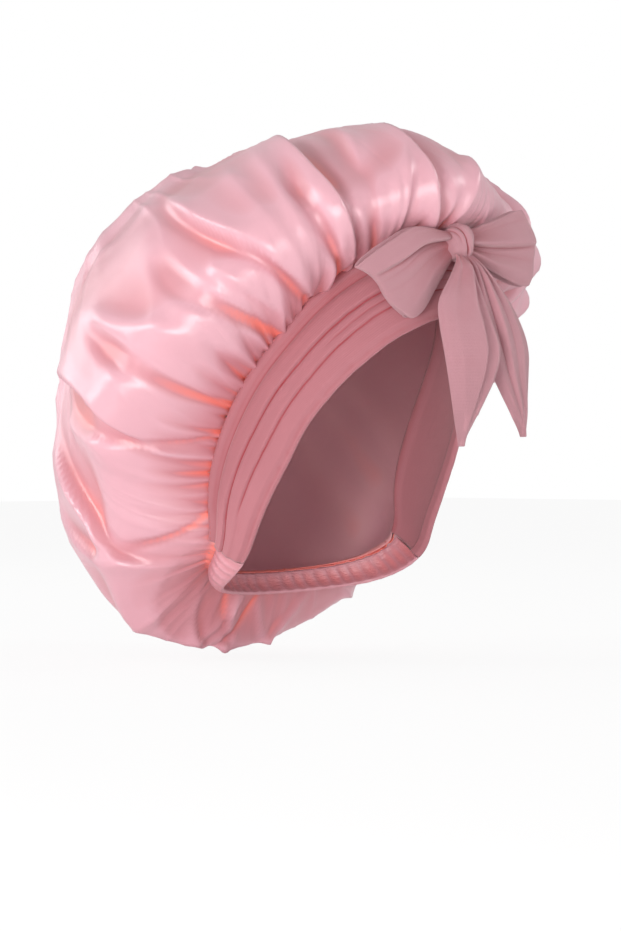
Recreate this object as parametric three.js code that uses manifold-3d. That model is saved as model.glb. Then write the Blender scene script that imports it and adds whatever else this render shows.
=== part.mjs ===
// Satin hair bonnet: a full gathered crown on a pleated stretch band, tied in a bow at the front.
// Millimetres. +X is the wearer's left, -Y the wearer's front and +Z up.
// The origin is the centre of the opening that the head goes into.

import * as THREE from 'three';
import Module from 'manifold-3d';

const wasm = await Module();
wasm.setup();

const { degToRad, lerp, clamp, smoothstep } = THREE.MathUtils;
const turn = 2 * Math.PI;

// Head opening, measured along the seam between crown and band
const openingHalfWidth = 80;
const openingHalfDepth = 86;
const openingHalfHeight = 133;
const openingTilt = degToRad(43.5);

// Pleated band and the elastic casing that closes the loop behind the neck
const bandWidth = 53;
const bandWall = 1.4;
const bandBulge = 3;
const pleatRise = 1.8;
const pleatCreaseShare = 0.15;
const facingWall = 0.8;
const casingWall = 0.8;
const casingBore = 3.4;
const casingSquareness = 0.6;
const elasticWidth = 12;
const elasticThickness = 1.4;

// Crown: half sizes along X, along the tilted opening and square to it
const crownHalfWidth = 150;
const crownHalfLength = 141;
const crownHalfDepth = 169;
const crownBack = 48;
const crownDrop = 20;
const crownWall = 1;
const crownFrontRim = degToRad(100);
const crownNapeRim = degToRad(135);
const lipShare = 0.2;
const lipCrowdingShare = 1.35;
const frontPuff = 5;
const napePuff = 30;
const puffPeakShare = 1 / 3;
const foldCount = 16;
const foldDepth = 8;
const foldStartShare = 0.35;
const foldWander = 0.35;
const foldWanderTurns = 3;
const liningWall = 0.8;

// Bow
const knotHalfWidth = 7.6;
const knotHalfDepth = 8.6;
const knotHalfHeight = 10.2;
const knotGroove = 0.7;
const knotGrooves = 5;
const knotDrop = 7;
const rootLength = 30;
const rootWidth = 15;
const rootWall = 1.3;
const rootStartShare = 0.1;
const rootTaperShare = 0.6;
const tieWall = 1.5;
const rightLoopReach = new THREE.Vector3(-53, 8, -32);
const rightLoopWidth = 48;
const leftLoopReach = new THREE.Vector3(64, -2, -2);
const leftLoopWidth = 47;
const loopGape = 7;
const loopRootGape = 2.4;
const loopArch = 3;
const rightTailReach = new THREE.Vector3(-7, -8, -114);
const rightTailWidth = 42;
const rightTailTwist = degToRad(20);
const leftTailReach = new THREE.Vector3(40, -9, -108);
const leftTailWidth = 34;
const leftTailTwist = degToRad(-8);
const tailStart = 3.4;
const tailSeatShare = new THREE.Vector3(0, -0.4, -0.7);
const tailFanShare = 0.6;
const tailTwistShare = 0.6;
const tailArchShare = 0.4;
const tailBow = 6;
const tailArch = 4;
const tailWall = 1.8;

// Clearances: sewn layers, pieces that turn beside the knot, and the elastic in its casing
const seamGap = 1.6;
const layerGap = 0.5;
const liningGap = 1.6;
const casingInset = 3.6;
const knotGap = 0.5;

// Seam from the front centre round the wearer's left to the nape, one row for each station,
// as shares of the opening's half width, half depth and half height
const seamShares = [
  [0, -0.94, 1],
  [0.275, -0.79, 0.945],
  [0.5, -0.51, 0.835],
  [0.7, -0.325, 0.7],
  [0.85, -0.165, 0.54],
  [0.95, 0.035, 0.37],
  [0.99, 0.21, 0.19],
  [1, 0.35, 0],
  [0.99, 0.42, -0.195],
  [0.965, 0.395, -0.39],
  [0.825, 0.65, -0.495],
  [0.5, 0.895, -0.54],
  [0, 1, -0.555],
];

// Direction from the seam to the free edge at the same stations, and the width there
const leanShares = [
  [0, -0.1, -0.995],
  [-0.04, -0.27, -0.96],
  [-0.05, -0.52, -0.85],
  [-0.09, -0.58, -0.81],
  [-0.13, -0.6, -0.79],
  [-0.15, -0.64, -0.75],
  [-0.15, -0.72, -0.68],
  [-0.12, -0.79, -0.6],
  [-0.1, -0.83, -0.55],
  [-0.07, -0.86, -0.5],
  [0, -0.65, -0.76],
  [0, -0.6, -0.8],
  [0, -0.5, -0.87],
];
const widthShares = [0.98, 1, 1.03, 1.03, 1, 1, 1, 0.94, 0.8, 0.53, 0.4, 0.36, 0.34];
const bandEndShare = 9 / 24;

// Pleats of the band: where each one starts, from the seam to the free edge
const pleatEdgeShares = [0, 0.2, 0.46, 0.69, 1];

// Fullness of the crown from its front to its nape, evenly round it
const crownFullShares = [1.47, 1.25, 1.09, 1, 0.92, 1.13, 1.13];

// Half width of a loop or a tail along its length, as shares of its full width
const loopWidthShares = [0.1, 0.27, 0.43, 0.5, 0.44];
const tailWidthShares = [0.07, 0.19, 0.36, 0.47, 0.5, 0.46, 0.34, 0.19, 0.03];

// A closed curve through a table of stations on the wearer's left and their mirror images
function closedCurve(rows, scale) {
  const left = rows.map(([x, y, z]) => new THREE.Vector3(x, y, z).multiply(scale));
  const right = left.slice(1, -1).reverse().map((p) => new THREE.Vector3(-p.x, p.y, p.z));
  return new THREE.CatmullRomCurve3([...left, ...right], true);
}

const unit = new THREE.Vector3(1, 1, 1);
const openingHalves = new THREE.Vector3(openingHalfWidth, openingHalfDepth, openingHalfHeight);
const seamCurve = closedCurve(seamShares, openingHalves);
const leanCurve = closedCurve(leanShares, unit);
const widthCurve = closedCurve(widthShares.map((share) => [0, 0, share]), unit);
const around = (share) => THREE.MathUtils.euclideanModulo(share, 1);
const seamAt = (share) => seamCurve.getPoint(around(share));
const widthAt = (share) => bandWidth * widthCurve.getPoint(around(share)).z;

// Frame of the opening: toward the front edge, and out of the opening
const frontward = new THREE.Vector3(0, -Math.cos(openingTilt), Math.sin(openingTilt));
const outward = new THREE.Vector3(0, -Math.sin(openingTilt), -Math.cos(openingTilt));

// Value of an evenly spaced table at a share of its length, rounded between its entries
function tableAt(table, share) {
  const place = clamp(share, 0, 1) * (table.length - 1);
  const index = Math.min(Math.floor(place), table.length - 2);
  const before = table[Math.max(index - 1, 0)];
  const after = table[Math.min(index + 2, table.length - 1)];
  const [start, end] = [table[index], table[index + 1]];
  const t = place - index;
  const bend = (2 * before - 5 * start + 4 * end - after) * t * t;
  const twist = (3 * start - before - 3 * end + after) * t * t * t;
  return start + 0.5 * ((end - before) * t + bend + twist);
}

// Square direction of a surface given by two shares
const shareStep = 1e-3;

function normalOf(surface, u, v) {
  const step = shareStep;
  const [low, high] = [Math.max(v - step, 0), Math.min(v + step, 1)];
  const alongU = surface(u + step, v).sub(surface(u - step, v));
  const alongV = surface(u, high).sub(surface(u, low));
  return alongU.cross(alongV).normalize();
}

// Closed body between two skins of a surface, lifted off it along its normal.
// A wrapped body closes on itself in u, and a capped one ends in a point at v = 1.
function sheetBody(surface, { columns, rows, wrapped = false, capped = false, lifts }) {
  const span = wrapped ? columns : columns + 1;
  const rings = capped ? rows : rows + 1;
  const positions = [];
  const skinSize = span * rings;
  for (let skin = 0; skin < 2; skin += 1) {
    for (let j = 0; j < rings; j += 1) {
      for (let i = 0; i < span; i += 1) {
        const [u, v] = [i / columns, j / rows];
        const point = surface(u, v);
        point.addScaledVector(normalOf(surface, u, v), lifts(u, v)[skin]);
        positions.push(point.x, point.y, point.z);
      }
    }
  }
  const at = (skin, i, j) => skin * skinSize + j * span + (i % span);
  const faces = [];
  const quad = (a, b, c, d) => faces.push(a, b, c, a, c, d);
  for (let j = 0; j < rings - 1; j += 1) {
    for (let i = 0; i < columns; i += 1) {
      quad(at(0, i, j), at(0, i + 1, j), at(0, i + 1, j + 1), at(0, i, j + 1));
      quad(at(1, i, j), at(1, i, j + 1), at(1, i + 1, j + 1), at(1, i + 1, j));
    }
  }
  for (let i = 0; i < columns; i += 1) {
    quad(at(0, i, 0), at(1, i, 0), at(1, i + 1, 0), at(0, i + 1, 0));
    if (!capped) {
      const top = rings - 1;
      quad(at(0, i, top), at(0, i + 1, top), at(1, i + 1, top), at(1, i, top));
    }
  }
  if (!wrapped) {
    for (let j = 0; j < rings - 1; j += 1) {
      quad(at(0, 0, j), at(0, 0, j + 1), at(1, 0, j + 1), at(1, 0, j));
      quad(at(0, columns, j), at(1, columns, j), at(1, columns, j + 1), at(0, columns, j + 1));
    }
  }
  if (capped) {
    const top = rings - 1;
    const peakNormal = normalOf(surface, 0, top / rows);
    peakNormal.add(normalOf(surface, 0.5, top / rows)).normalize();
    for (let skin = 0; skin < 2; skin += 1) {
      const peak = surface(0, 1).addScaledVector(peakNormal, lifts(0, 1)[skin]);
      const index = positions.length / 3;
      positions.push(peak.x, peak.y, peak.z);
      for (let i = 0; i < columns; i += 1) {
        const edge = [at(skin, i, top), at(skin, i + 1, top)];
        faces.push(edge[skin], edge[1 - skin], index);
      }
    }
  }
  return facingOut(positions, faces);
}

// Indexed geometry with its faces pointing outwards
function facingOut(positions, faces) {
  const corner = (index) => new THREE.Vector3().fromArray(positions, 3 * index);
  let volume = 0;
  for (let k = 0; k < faces.length; k += 3) {
    const [a, b, c] = [corner(faces[k]), corner(faces[k + 1]), corner(faces[k + 2])];
    volume += a.dot(b.cross(c));
  }
  if (volume < 0) {
    for (let k = 0; k < faces.length; k += 3) {
      [faces[k], faces[k + 1]] = [faces[k + 1], faces[k]];
    }
  }
  const geometry = new THREE.BufferGeometry();
  geometry.setAttribute('position', new THREE.Float32BufferAttribute(positions, 3));
  geometry.setIndex(faces);
  return geometry;
}

// Solid of an indexed geometry, and the geometry of a solid
function solidOf(geometry) {
  return new wasm.Manifold(new wasm.Mesh({
    numProp: 3,
    vertProperties: new Float32Array(geometry.attributes.position.array),
    triVerts: new Uint32Array(geometry.index.array),
  }));
}

function geometryOf(solid) {
  const mesh = solid.getMesh();
  const geometry = new THREE.BufferGeometry();
  geometry.setAttribute('position', new THREE.BufferAttribute(mesh.vertProperties, 3));
  geometry.setIndex(new THREE.BufferAttribute(mesh.triVerts, 1));
  return geometry;
}

// Crown without its folds: it leaves the seam, rounds its lip and closes at its peak
function crownBase(u, height) {
  const v = height ** lipCrowdingShare;
  const seam = seamAt(u);
  const front = (seam.dot(frontward) + crownDrop) / crownHalfLength;
  const heading = Math.atan2(seam.x / crownHalfWidth, front);
  const napeShare = smoothstep(Math.abs(heading), turn / 4, turn / 2);
  const polar = lerp(crownFrontRim, crownNapeRim, napeShare) * (1 - v);
  const full = tableAt(crownFullShares, Math.abs(heading) / (turn / 2));
  const spread = Math.sin(polar) * lerp(1, full, Math.sin(polar));
  const bag = new THREE.Vector3(crownHalfWidth * spread * Math.sin(heading), 0, 0);
  bag.addScaledVector(frontward, crownHalfLength * spread * Math.cos(heading) - crownDrop);
  bag.addScaledVector(outward, -crownHalfDepth * Math.cos(polar) - crownBack);
  const reach = Math.min(v / lipShare, 1);
  const lean = leanCurve.getPoint(around(u)).normalize();
  const along = seamAt(u + shareStep).sub(seamAt(u - shareStep)).normalize();
  const leaving = lean.clone().cross(along).normalize().sub(lean).normalize();
  const swell = reach * (1 - reach) ** 2 / (puffPeakShare * (1 - puffPeakShare) ** 2);
  const puff = lerp(frontPuff, napePuff, napeShare) * swell;
  return seam.lerp(bag, 1 - (1 - reach) ** 3).addScaledVector(leaving, puff);
}

// Height of the folds over the crown: none at the seam and the peak
function foldLift(u, v) {
  const wander = foldWander * Math.sin(foldWanderTurns * turn * u);
  const wave = 0.5 - 0.5 * Math.cos(turn * (foldCount * u) + wander);
  const fade = smoothstep(v, 0, foldStartShare) * (1 - smoothstep(v, foldStartShare, 1));
  return foldDepth * wave * fade;
}

const crownLifts = (u, v) => [foldLift(u, v) + crownWall / 2, foldLift(u, v) - crownWall / 2];
const liningTop = crownWall / 2 + liningGap;
const liningLifts = () => [-liningTop, -liningTop - liningWall];

// Place on the band: u runs along the loop, v from the seam to the free edge
function bandSurface(first, last, inset) {
  return (u, v) => {
    const share = lerp(first, last, u);
    const lean = leanCurve.getPoint(around(share)).normalize();
    const point = seamAt(share).addScaledVector(lean, lerp(inset, widthAt(share), v));
    const along = seamAt(share + shareStep).sub(seamAt(share - shareStep)).normalize();
    const square = lean.cross(along).normalize();
    return point.addScaledVector(square, bandBulge * 4 * v * (1 - v));
  };
}

// Share of the loop that a short length takes at a place on it
function loopShare(share, length) {
  const speed = seamAt(share + shareStep).distanceTo(seamAt(share - shareStep)) / (2 * shareStep);
  return length / speed;
}

const bandPlace = bandSurface(-bandEndShare, bandEndShare, seamGap);
const pleatCount = pleatEdgeShares.length - 1;
const pleatPlace = (u, v) => bandPlace(u, tableAt(pleatEdgeShares, v));
const pleatHeight = (v) => {
  const wave = Math.abs(Math.sin(turn / 2 * pleatCount * v));
  return pleatRise * (pleatCreaseShare + (1 - pleatCreaseShare) * wave);
};
const bandLifts = (u, v) => [-bandWall - pleatHeight(v), 0];
const facingLifts = () => [layerGap, layerGap + facingWall];

// Casing behind the neck: a flat tube whose width runs from the seam to the free edge
const casingStart = bandEndShare + loopShare(bandEndShare, layerGap);
const casingPlace = bandSurface(casingStart, 1 - casingStart, casingInset);
const casingHalfThickness = casingBore / 2 + casingWall;

function casingSurface(u, v) {
  const angle = turn * u;
  const across = 0.5 - 0.5 * Math.cos(angle);
  const lift = Math.sign(Math.sin(angle)) * Math.abs(Math.sin(angle)) ** casingSquareness;
  const point = casingPlace(v, across);
  const square = normalOf(casingPlace, v, across);
  return point.addScaledVector(square, casingHalfThickness * lift);
}

function elasticSurface(u, v) {
  const share = lerp(casingStart, 1 - casingStart, u);
  const half = elasticWidth / 2 / widthAt(share);
  return casingPlace(u, 0.5 + lerp(-half, half, v));
}

// Bow: the knot sits on the band, a little below the seam at the front
const knotSeat = bandPlace(0.5, knotDrop / bandWidth);
const bandFront = bandWall + pleatRise;
const knotHalves = new THREE.Vector3(knotHalfWidth, knotHalfDepth, knotHalfHeight);
const knotCentre = new THREE.Vector3(0, knotSeat.y - bandFront - knotHalfDepth, knotSeat.z);

function knotBody(grow, grooves) {
  const [columns, rows] = [28, 18];
  const positions = [];
  const faces = [];
  const halves = knotHalves.clone().addScalar(grow);
  const ringPoint = (heading, polar) => {
    const point = new THREE.Vector3(
      Math.sin(polar) * Math.cos(heading),
      Math.sin(polar) * Math.sin(heading),
      Math.cos(polar),
    );
    const groove = grooves * knotGroove * (0.5 + 0.5 * Math.cos(knotGrooves * point.x * turn / 2));
    return point.clone().multiply(halves).addScaledVector(point, -groove).add(knotCentre);
  };
  for (let j = 1; j < rows; j += 1) {
    for (let i = 0; i < columns; i += 1) {
      const point = ringPoint(turn * i / columns, turn / 2 * j / rows);
      positions.push(point.x, point.y, point.z);
    }
  }
  const at = (i, j) => (j - 1) * columns + (i % columns);
  for (const [index, polar] of [[(rows - 1) * columns, 0], [(rows - 1) * columns + 1, turn / 2]]) {
    const pole = ringPoint(0, polar);
    positions.push(pole.x, pole.y, pole.z);
    const row = polar === 0 ? 1 : rows - 1;
    for (let i = 0; i < columns; i += 1) {
      const edge = polar === 0 ? [at(i, row), at(i + 1, row)] : [at(i + 1, row), at(i, row)];
      faces.push(index, ...edge);
    }
  }
  for (let j = 1; j < rows - 1; j += 1) {
    for (let i = 0; i < columns; i += 1) {
      faces.push(at(i, j), at(i, j + 1), at(i + 1, j + 1));
      faces.push(at(i, j), at(i + 1, j + 1), at(i + 1, j));
    }
  }
  return facingOut(positions, faces);
}

// A tie end lies on the band from the seam to the knot
function rootSurface(side) {
  const reach = loopShare(0, rootLength) / (2 * bandEndShare);
  return (u, v) => {
    const along = 0.5 + side * lerp(rootStartShare, 1, v) * reach;
    const half = rootWidth * (u - 0.5) * lerp(rootTaperShare, 1, v);
    const drop = lerp(knotDrop, rootWidth / 2 + seamGap, v) + half;
    return bandPlace(along, drop / bandWidth);
  };
}
const rootRest = bandFront + layerGap;
const rootLifts = (side) => () => [side * (rootRest + rootWall), side * rootRest];

// A loop of the tie: out from the knot, round its end and back behind itself
function loopSurface(reach, width) {
  const along = reach.clone().normalize();
  const forward = new THREE.Vector3(0, -1, 0).addScaledVector(along, along.y).normalize();
  const side = along.clone().cross(forward).normalize();
  return (u, v) => {
    const out = 1 - Math.abs(2 * v - 1);
    const swing = Math.sin(turn / 4 * out);
    const half = width * tableAt(loopWidthShares, out);
    const across = 2 * u - 1;
    const open = lerp(loopRootGape, loopGape, smoothstep(out, 0, 0.5)) / 2;
    const gape = Math.sign(0.5 - v) * open * Math.sqrt(1 - out ** 4);
    const arch = loopArch * swing * across * across;
    const point = knotCentre.clone().addScaledVector(along, reach.length() * swing);
    point.addScaledVector(side, half * across);
    return point.addScaledVector(forward, gape - arch);
  };
}

// Where the tails leave the knot, low on its front
const tailSeat = tailSeatShare.clone().multiply(knotHalves).add(knotCentre);

// A tail of the tie: it bows forward of the band, widens and ends in a point
function tailSurface(reach, width, twist) {
  return (u, v) => {
    const across = 2 * u - 1;
    const half = width * tableAt(tailWidthShares, v);
    const angle = twist * smoothstep(v, 0, tailTwistShare);
    const forward = tailBow * Math.sin(turn / 2 * Math.sqrt(v));
    const fan = Math.sin(turn / 4 * Math.min(v / tailFanShare, 1));
    const start = Math.sign(reach.x) * tailStart;
    const point = new THREE.Vector3(
      lerp(start, reach.x, fan) + half * across * Math.cos(angle),
      reach.y * v - forward - half * across * Math.sin(angle),
      reach.z * v,
    );
    point.y += tailArch * across * across * smoothstep(v, 0, tailArchShare);
    return point.add(tailSeat);
  };
}

const crownRows = 9;
const evenLifts = (wall) => () => [wall / 2, -wall / 2];

// Part of a tie that is left outside the knot
function clearOfKnot(geometry) {
  const cut = solidOf(geometry).subtract(solidOf(knotBody(knotGap, 0)));
  return geometryOf(cut.decompose().sort((a, b) => b.volume() - a.volume())[0]);
}

function rootBody(side) {
  return clearOfKnot(sheetBody(rootSurface(side), { columns: 3, rows: 6, lifts: rootLifts(side) }));
}

const tieGrid = { columns: 6, rows: 24 };
const tailGrid = { columns: 6, rows: 18 };

function loopBody(reach, width) {
  return clearOfKnot(sheetBody(loopSurface(reach, width), { ...tieGrid, lifts: evenLifts(tieWall) }));
}

function tailBody(reach, width, twist) {
  const surface = tailSurface(reach, width, twist);
  return clearOfKnot(sheetBody(surface, { ...tailGrid, lifts: evenLifts(tailWall) }));
}

const satin = { roughness: 0.35, metalness: 0 };
const jersey = { roughness: 0.85, metalness: 0 };

const pieces = {
  crown_outer: {
    geometry: sheetBody(crownBase, {
      columns: 4 * foldCount, rows: crownRows, wrapped: true, capped: true, lifts: crownLifts,
    }),
    finish: { color: 0xeab0b8, ...satin },
  },
  crown_lining: {
    geometry: sheetBody(crownBase, {
      columns: 3 * foldCount, rows: crownRows, wrapped: true, capped: true, lifts: liningLifts,
    }),
    finish: { color: 0xe2a4ac, ...satin },
  },
  pleated_band: {
    geometry: sheetBody(pleatPlace, { columns: 44, rows: 3 * pleatCount, lifts: bandLifts }),
    finish: { color: 0xc0808a, ...jersey },
  },
  band_facing: {
    geometry: sheetBody(bandPlace, { columns: 24, rows: 4, lifts: facingLifts }),
    finish: { color: 0xb87882, ...jersey },
  },
  nape_casing: {
    geometry: sheetBody(casingSurface, {
      columns: 12, rows: 16, wrapped: true, lifts: () => [0, -casingWall],
    }),
    finish: { color: 0xe8a8b0, ...satin },
  },
  nape_elastic: {
    geometry: sheetBody(elasticSurface, { columns: 16, rows: 1, lifts: evenLifts(elasticThickness) }),
    finish: { color: 0xf4efe8, ...jersey },
  },
  tie_root_left: {
    geometry: rootBody(1),
    finish: { color: 0xbc8088, ...jersey },
  },
  tie_root_right: {
    geometry: rootBody(-1),
    finish: { color: 0xbc8088, ...jersey },
  },
  bow_knot: {
    geometry: knotBody(0, 1),
    finish: { color: 0xc49aa0, ...jersey },
  },
  bow_loop_left: {
    geometry: loopBody(leftLoopReach, leftLoopWidth),
    finish: { color: 0xc89ca4, ...jersey },
  },
  bow_loop_right: {
    geometry: loopBody(rightLoopReach, rightLoopWidth),
    finish: { color: 0xb98e97, ...jersey },
  },
  bow_tail_left: {
    geometry: tailBody(leftTailReach, leftTailWidth, leftTailTwist),
    finish: { color: 0xb96f71, ...jersey },
  },
  bow_tail_right: {
    geometry: tailBody(rightTailReach, rightTailWidth, rightTailTwist),
    finish: { color: 0xc58c93, ...jersey },
  },
};

const bonnet = new THREE.Group();
for (const [name, { geometry, finish }] of Object.entries(pieces)) {
  const mesh = new THREE.Mesh(geometry, new THREE.MeshStandardMaterial(finish));
  mesh.name = name;
  bonnet.add(mesh);
}

export default bonnet;
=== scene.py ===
"""Satin hair bonnet: a gathered crown on a pleated knit band that ties in a bow."""

import math

import bpy
import numpy as np
from mathutils import Matrix, Vector, noise


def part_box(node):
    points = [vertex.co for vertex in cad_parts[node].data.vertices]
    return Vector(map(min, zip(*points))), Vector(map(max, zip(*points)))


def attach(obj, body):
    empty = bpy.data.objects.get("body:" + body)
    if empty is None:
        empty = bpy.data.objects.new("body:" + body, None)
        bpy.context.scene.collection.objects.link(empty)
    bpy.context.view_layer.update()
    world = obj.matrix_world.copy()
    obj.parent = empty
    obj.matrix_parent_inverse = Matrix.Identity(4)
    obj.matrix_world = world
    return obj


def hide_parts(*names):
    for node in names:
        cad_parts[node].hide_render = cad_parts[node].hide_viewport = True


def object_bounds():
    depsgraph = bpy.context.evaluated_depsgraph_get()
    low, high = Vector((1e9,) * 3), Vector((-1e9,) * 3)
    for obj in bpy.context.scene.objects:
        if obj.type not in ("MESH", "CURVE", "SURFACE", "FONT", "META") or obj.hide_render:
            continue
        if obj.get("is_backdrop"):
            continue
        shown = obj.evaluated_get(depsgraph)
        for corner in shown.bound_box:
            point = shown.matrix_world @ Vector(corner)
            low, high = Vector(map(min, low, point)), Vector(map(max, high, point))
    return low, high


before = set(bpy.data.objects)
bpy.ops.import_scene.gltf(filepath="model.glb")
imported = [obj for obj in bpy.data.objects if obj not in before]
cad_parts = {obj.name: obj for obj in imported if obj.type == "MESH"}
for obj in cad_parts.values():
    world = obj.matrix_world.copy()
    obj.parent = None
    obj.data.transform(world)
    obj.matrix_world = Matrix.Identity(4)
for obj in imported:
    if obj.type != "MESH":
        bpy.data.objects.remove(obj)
cad_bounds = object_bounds()

bl_info = {
    "name": "Satin Hair Bonnet",
    "version": (1, 0, 0),
    "blender": (4, 5, 0),
    "location": "View3D > Sidebar > Bonnet",
    "description": "A gathered satin bonnet with a pleated knit band and a bow",
    "category": "Add Mesh",
}

MILLIMETRE = 0.001
TURN = 2 * math.pi

# Seam from the front centre round the wearer's left to the nape, one row for each station,
# as shares of the opening's half width, half depth and half height
SEAM_SHARES = [
    [0, -0.94, 1],
    [0.275, -0.79, 0.945],
    [0.5, -0.51, 0.835],
    [0.7, -0.325, 0.7],
    [0.85, -0.165, 0.54],
    [0.95, 0.035, 0.37],
    [0.99, 0.21, 0.19],
    [1, 0.35, 0],
    [0.99, 0.42, -0.195],
    [0.965, 0.395, -0.39],
    [0.825, 0.65, -0.495],
    [0.5, 0.895, -0.54],
    [0, 1, -0.555],
]

# Direction from the seam to the free edge at the same stations, and the width there
LEAN_SHARES = [
    [0, -0.1, -0.995],
    [-0.04, -0.27, -0.96],
    [-0.05, -0.52, -0.85],
    [-0.09, -0.58, -0.81],
    [-0.13, -0.6, -0.79],
    [-0.15, -0.64, -0.75],
    [-0.15, -0.72, -0.68],
    [-0.12, -0.79, -0.6],
    [-0.1, -0.83, -0.55],
    [-0.07, -0.86, -0.5],
    [0, -0.65, -0.76],
    [0, -0.6, -0.8],
    [0, -0.5, -0.87],
]
WIDTH_SHARES = [0.98, 1, 1.03, 1.03, 1, 1, 1, 0.94, 0.8, 0.53, 0.4, 0.36, 0.34]
BAND_END_SHARE = 9 / 24
PLEAT_HEIGHT_SHARES = [
    0.5, 1.25, 1.15, 0.4, 0.2, 0.75, 1.0, 1.05, 1.1, 1.1,
    0.8, 0.72, 0.8, 0.85, 0.6, 0.52, 0.56, 0.6, 0.6, 0.56, 0.25,
]

# Creases of the band: place across, width and depth as shares, and how far along they run
CREASES = [
    [0.2, 0.012, 0.15, 0.9],
    [0.462, 0.009, 0.85, 0.99],
    [0.675, 0.008, 0.55, 0.8],
    [0.57, 0.008, 0.3, 0.3],
]
CROWN_FULL_SHARES = [1.47, 1.25, 1.09, 1, 0.92, 1.13, 1.13]

# Edges of a loop or a tail on both sides of its middle line, from the knot to its end,
# as shares of its full width
RIGHT_LOOP_EDGE_SHARES = [[0.06, 0.26, 0.44, 0.45, 0.38], [0.16, 0.5, 0.55, 0.54, 0.5]]
LEFT_LOOP_EDGE_SHARES = [[0.12, 0.3, 0.47, 0.52, 0.48], [0.12, 0.3, 0.43, 0.46, 0.42]]
RIGHT_TAIL_EDGE_SHARES = [
    [0.08, 0.27, 0.42, 0.35, 0.26, 0.19, 0.13, 0.07, 0.005],
    [0.08, 0.22, 0.4, 0.54, 0.63, 0.56, 0.4, 0.2, 0.01],
]
LEFT_TAIL_EDGE_SHARES = [
    [0.1, 0.3, 0.55, 0.7, 0.72, 0.58, 0.34, 0.08, -0.15],
    [0.06, 0.16, 0.26, 0.32, 0.34, 0.32, 0.3, 0.27, 0.165],
]

# Main folds on the wearer's right, one row each: place on the seam, half way and at the end
# as shares of the loop, start and reach as shares of the way to the peak, height and the
# widths below and above the crest in millimetres, and how pointed the crest is
MAIN_FOLDS = [
    [0.878, 0.822, 0.812, 0.00, 0.64, 13.0, 2.8, 24.0, 1.1],
    [0.872, 0.848, 0.868, 0.00, 0.66, 3.5, 8.0, 8.0, 1.6],
    [0.880, 0.866, 0.905, 0.05, 0.66, 3.0, 7.0, 6.0, 1.6],
    [0.876, 0.840, 0.832, 0.00, 0.30, -4.0, 4.0, 6.0, 2.2],
    [0.908, 0.874, 0.893, 0.00, 0.46, -6.0, 5.0, 7.0, 2.2],
    [0.905, 0.886, 0.879, 0.00, 0.22, -4.0, 4.0, 4.0, 2.2],
    [0.914, 0.893, 0.936, 0.00, 0.70, 14.5, 22.0, 2.8, 1.1],
    [0.895, 0.925, 0.985, 0.26, 0.66, 5.0, 3.0, 12.0, 1.3],
    [0.938, 0.915, 0.925, 0.00, 0.36, -6.0, 8.0, 6.0, 2.2],
    [0.937, 0.936, 0.940, 0.00, 0.26, 2.5, 4.0, 3.0, 1.4],
    [0.945, 0.945, 0.969, 0.00, 0.34, 5.0, 9.0, 3.0, 1.25],
    [0.985, 0.966, 1.000, 0.00, 0.54, 12.5, 18.0, 2.8, 1.1],
    [0.993, 1.008, 1.040, 0.00, 0.36, 5.0, 4.0, 12.0, 1.2],
    [0.855, 0.820, 0.806, 0.00, 0.30, 4.5, 3.0, 11.0, 1.3],
    [0.836, 0.793, 0.787, 0.00, 0.44, -9.0, 7.5, 6.5, 2.6],
    [0.812, 0.752, 0.704, 0.00, 0.60, 6.5, 16.0, 11.0, 1.5],
    [0.757, 0.739, 0.722, 0.00, 0.50, -8.5, 8.0, 7.0, 2.6],
    [0.725, 0.735, 0.738, 0.02, 0.18, 2.5, 3.0, 5.0, 1.4],
    [0.735, 0.712, 0.700, 0.00, 0.17, -4.0, 4.0, 4.0, 2.2],
    [0.690, 0.700, 0.600, 0.08, 0.68, 11.0, 3.0, 20.0, 1.15],
    [0.696, 0.688, 0.625, 0.06, 0.56, -5.0, 8.0, 7.0, 2.2],
    [0.710, 0.676, 0.600, 0.00, 0.56, 6.0, 16.0, 3.6, 1.25],
    [0.660, 0.610, 0.606, 0.00, 0.28, -6.0, 6.0, 5.0, 2.4],
    [0.590, 0.601, 0.572, 0.05, 0.64, 11.5, 18.0, 3.0, 1.15],
    [0.612, 0.585, 0.550, 0.14, 0.58, 4.5, 10.0, 3.0, 1.3],
    [0.668, 0.560, 0.530, 0.00, 0.24, 3.0, 7.0, 12.0, 1.5],
    [0.556, 0.524, 0.512, 0.00, 0.28, 4.5, 3.5, 9.0, 1.3],
    [0.526, 0.508, 0.498, 0.00, 0.26, -4.0, 4.0, 5.0, 2.2],
    [0.502, 0.484, 0.472, 0.00, 0.32, 4.0, 8.0, 3.5, 1.3],
]

# How a main fold runs: its crest's slope is taken over a small step of its reach, it widens from
# a share at the seam, rises from a share, and fades over the last part of its reach
SLOPE_STEP = 0.01
CROWN_LENGTH = 0.42
LEAST_FOLD_WIDTH = 0.002
SEAM_WIDTH_SHARE = 0.3
FULL_WIDTH_SHARE = 0.28
SEAM_RISE_SHARE = 0.1
LOW_RISE_SHARE = 0.4
FULL_RISE_SHARES = [0.05, 0.25]
LATE_START_SHARE = 0.12
FADE_START_SHARE = 0.6
# Painted glow in the hollow of a sunken fold: where it comes in and fades along the fold, and the depth
# in millimetres that gives it full
GLOW_START_SHARES = [-0.3, 0.05]
GLOW_FADE_SHARES = [0.25, 0.75]
GLOW_DEPTH = 8.0

# Crease beside a lopsided fold: place and width in narrow sides, depth as a share of the fold,
# and how many times wider the wide side is when it starts and when it is full
BESIDE_PLACE = 2.4
BESIDE_WIDTH = 1.6
BESIDE_DEPTH_SHARE = 0.38
LOPSIDED = [1.5, 3]

# Folds of the wearer's left: how far they may lie from the mirror image, how much they may
# differ in height, and how near the front centre a fold isn't mirrored
UNSEEN_SHIFT = 0.012
UNSEEN_SPREAD = 0.2
NEAR_FRONT_SHARE = 0.08

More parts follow.
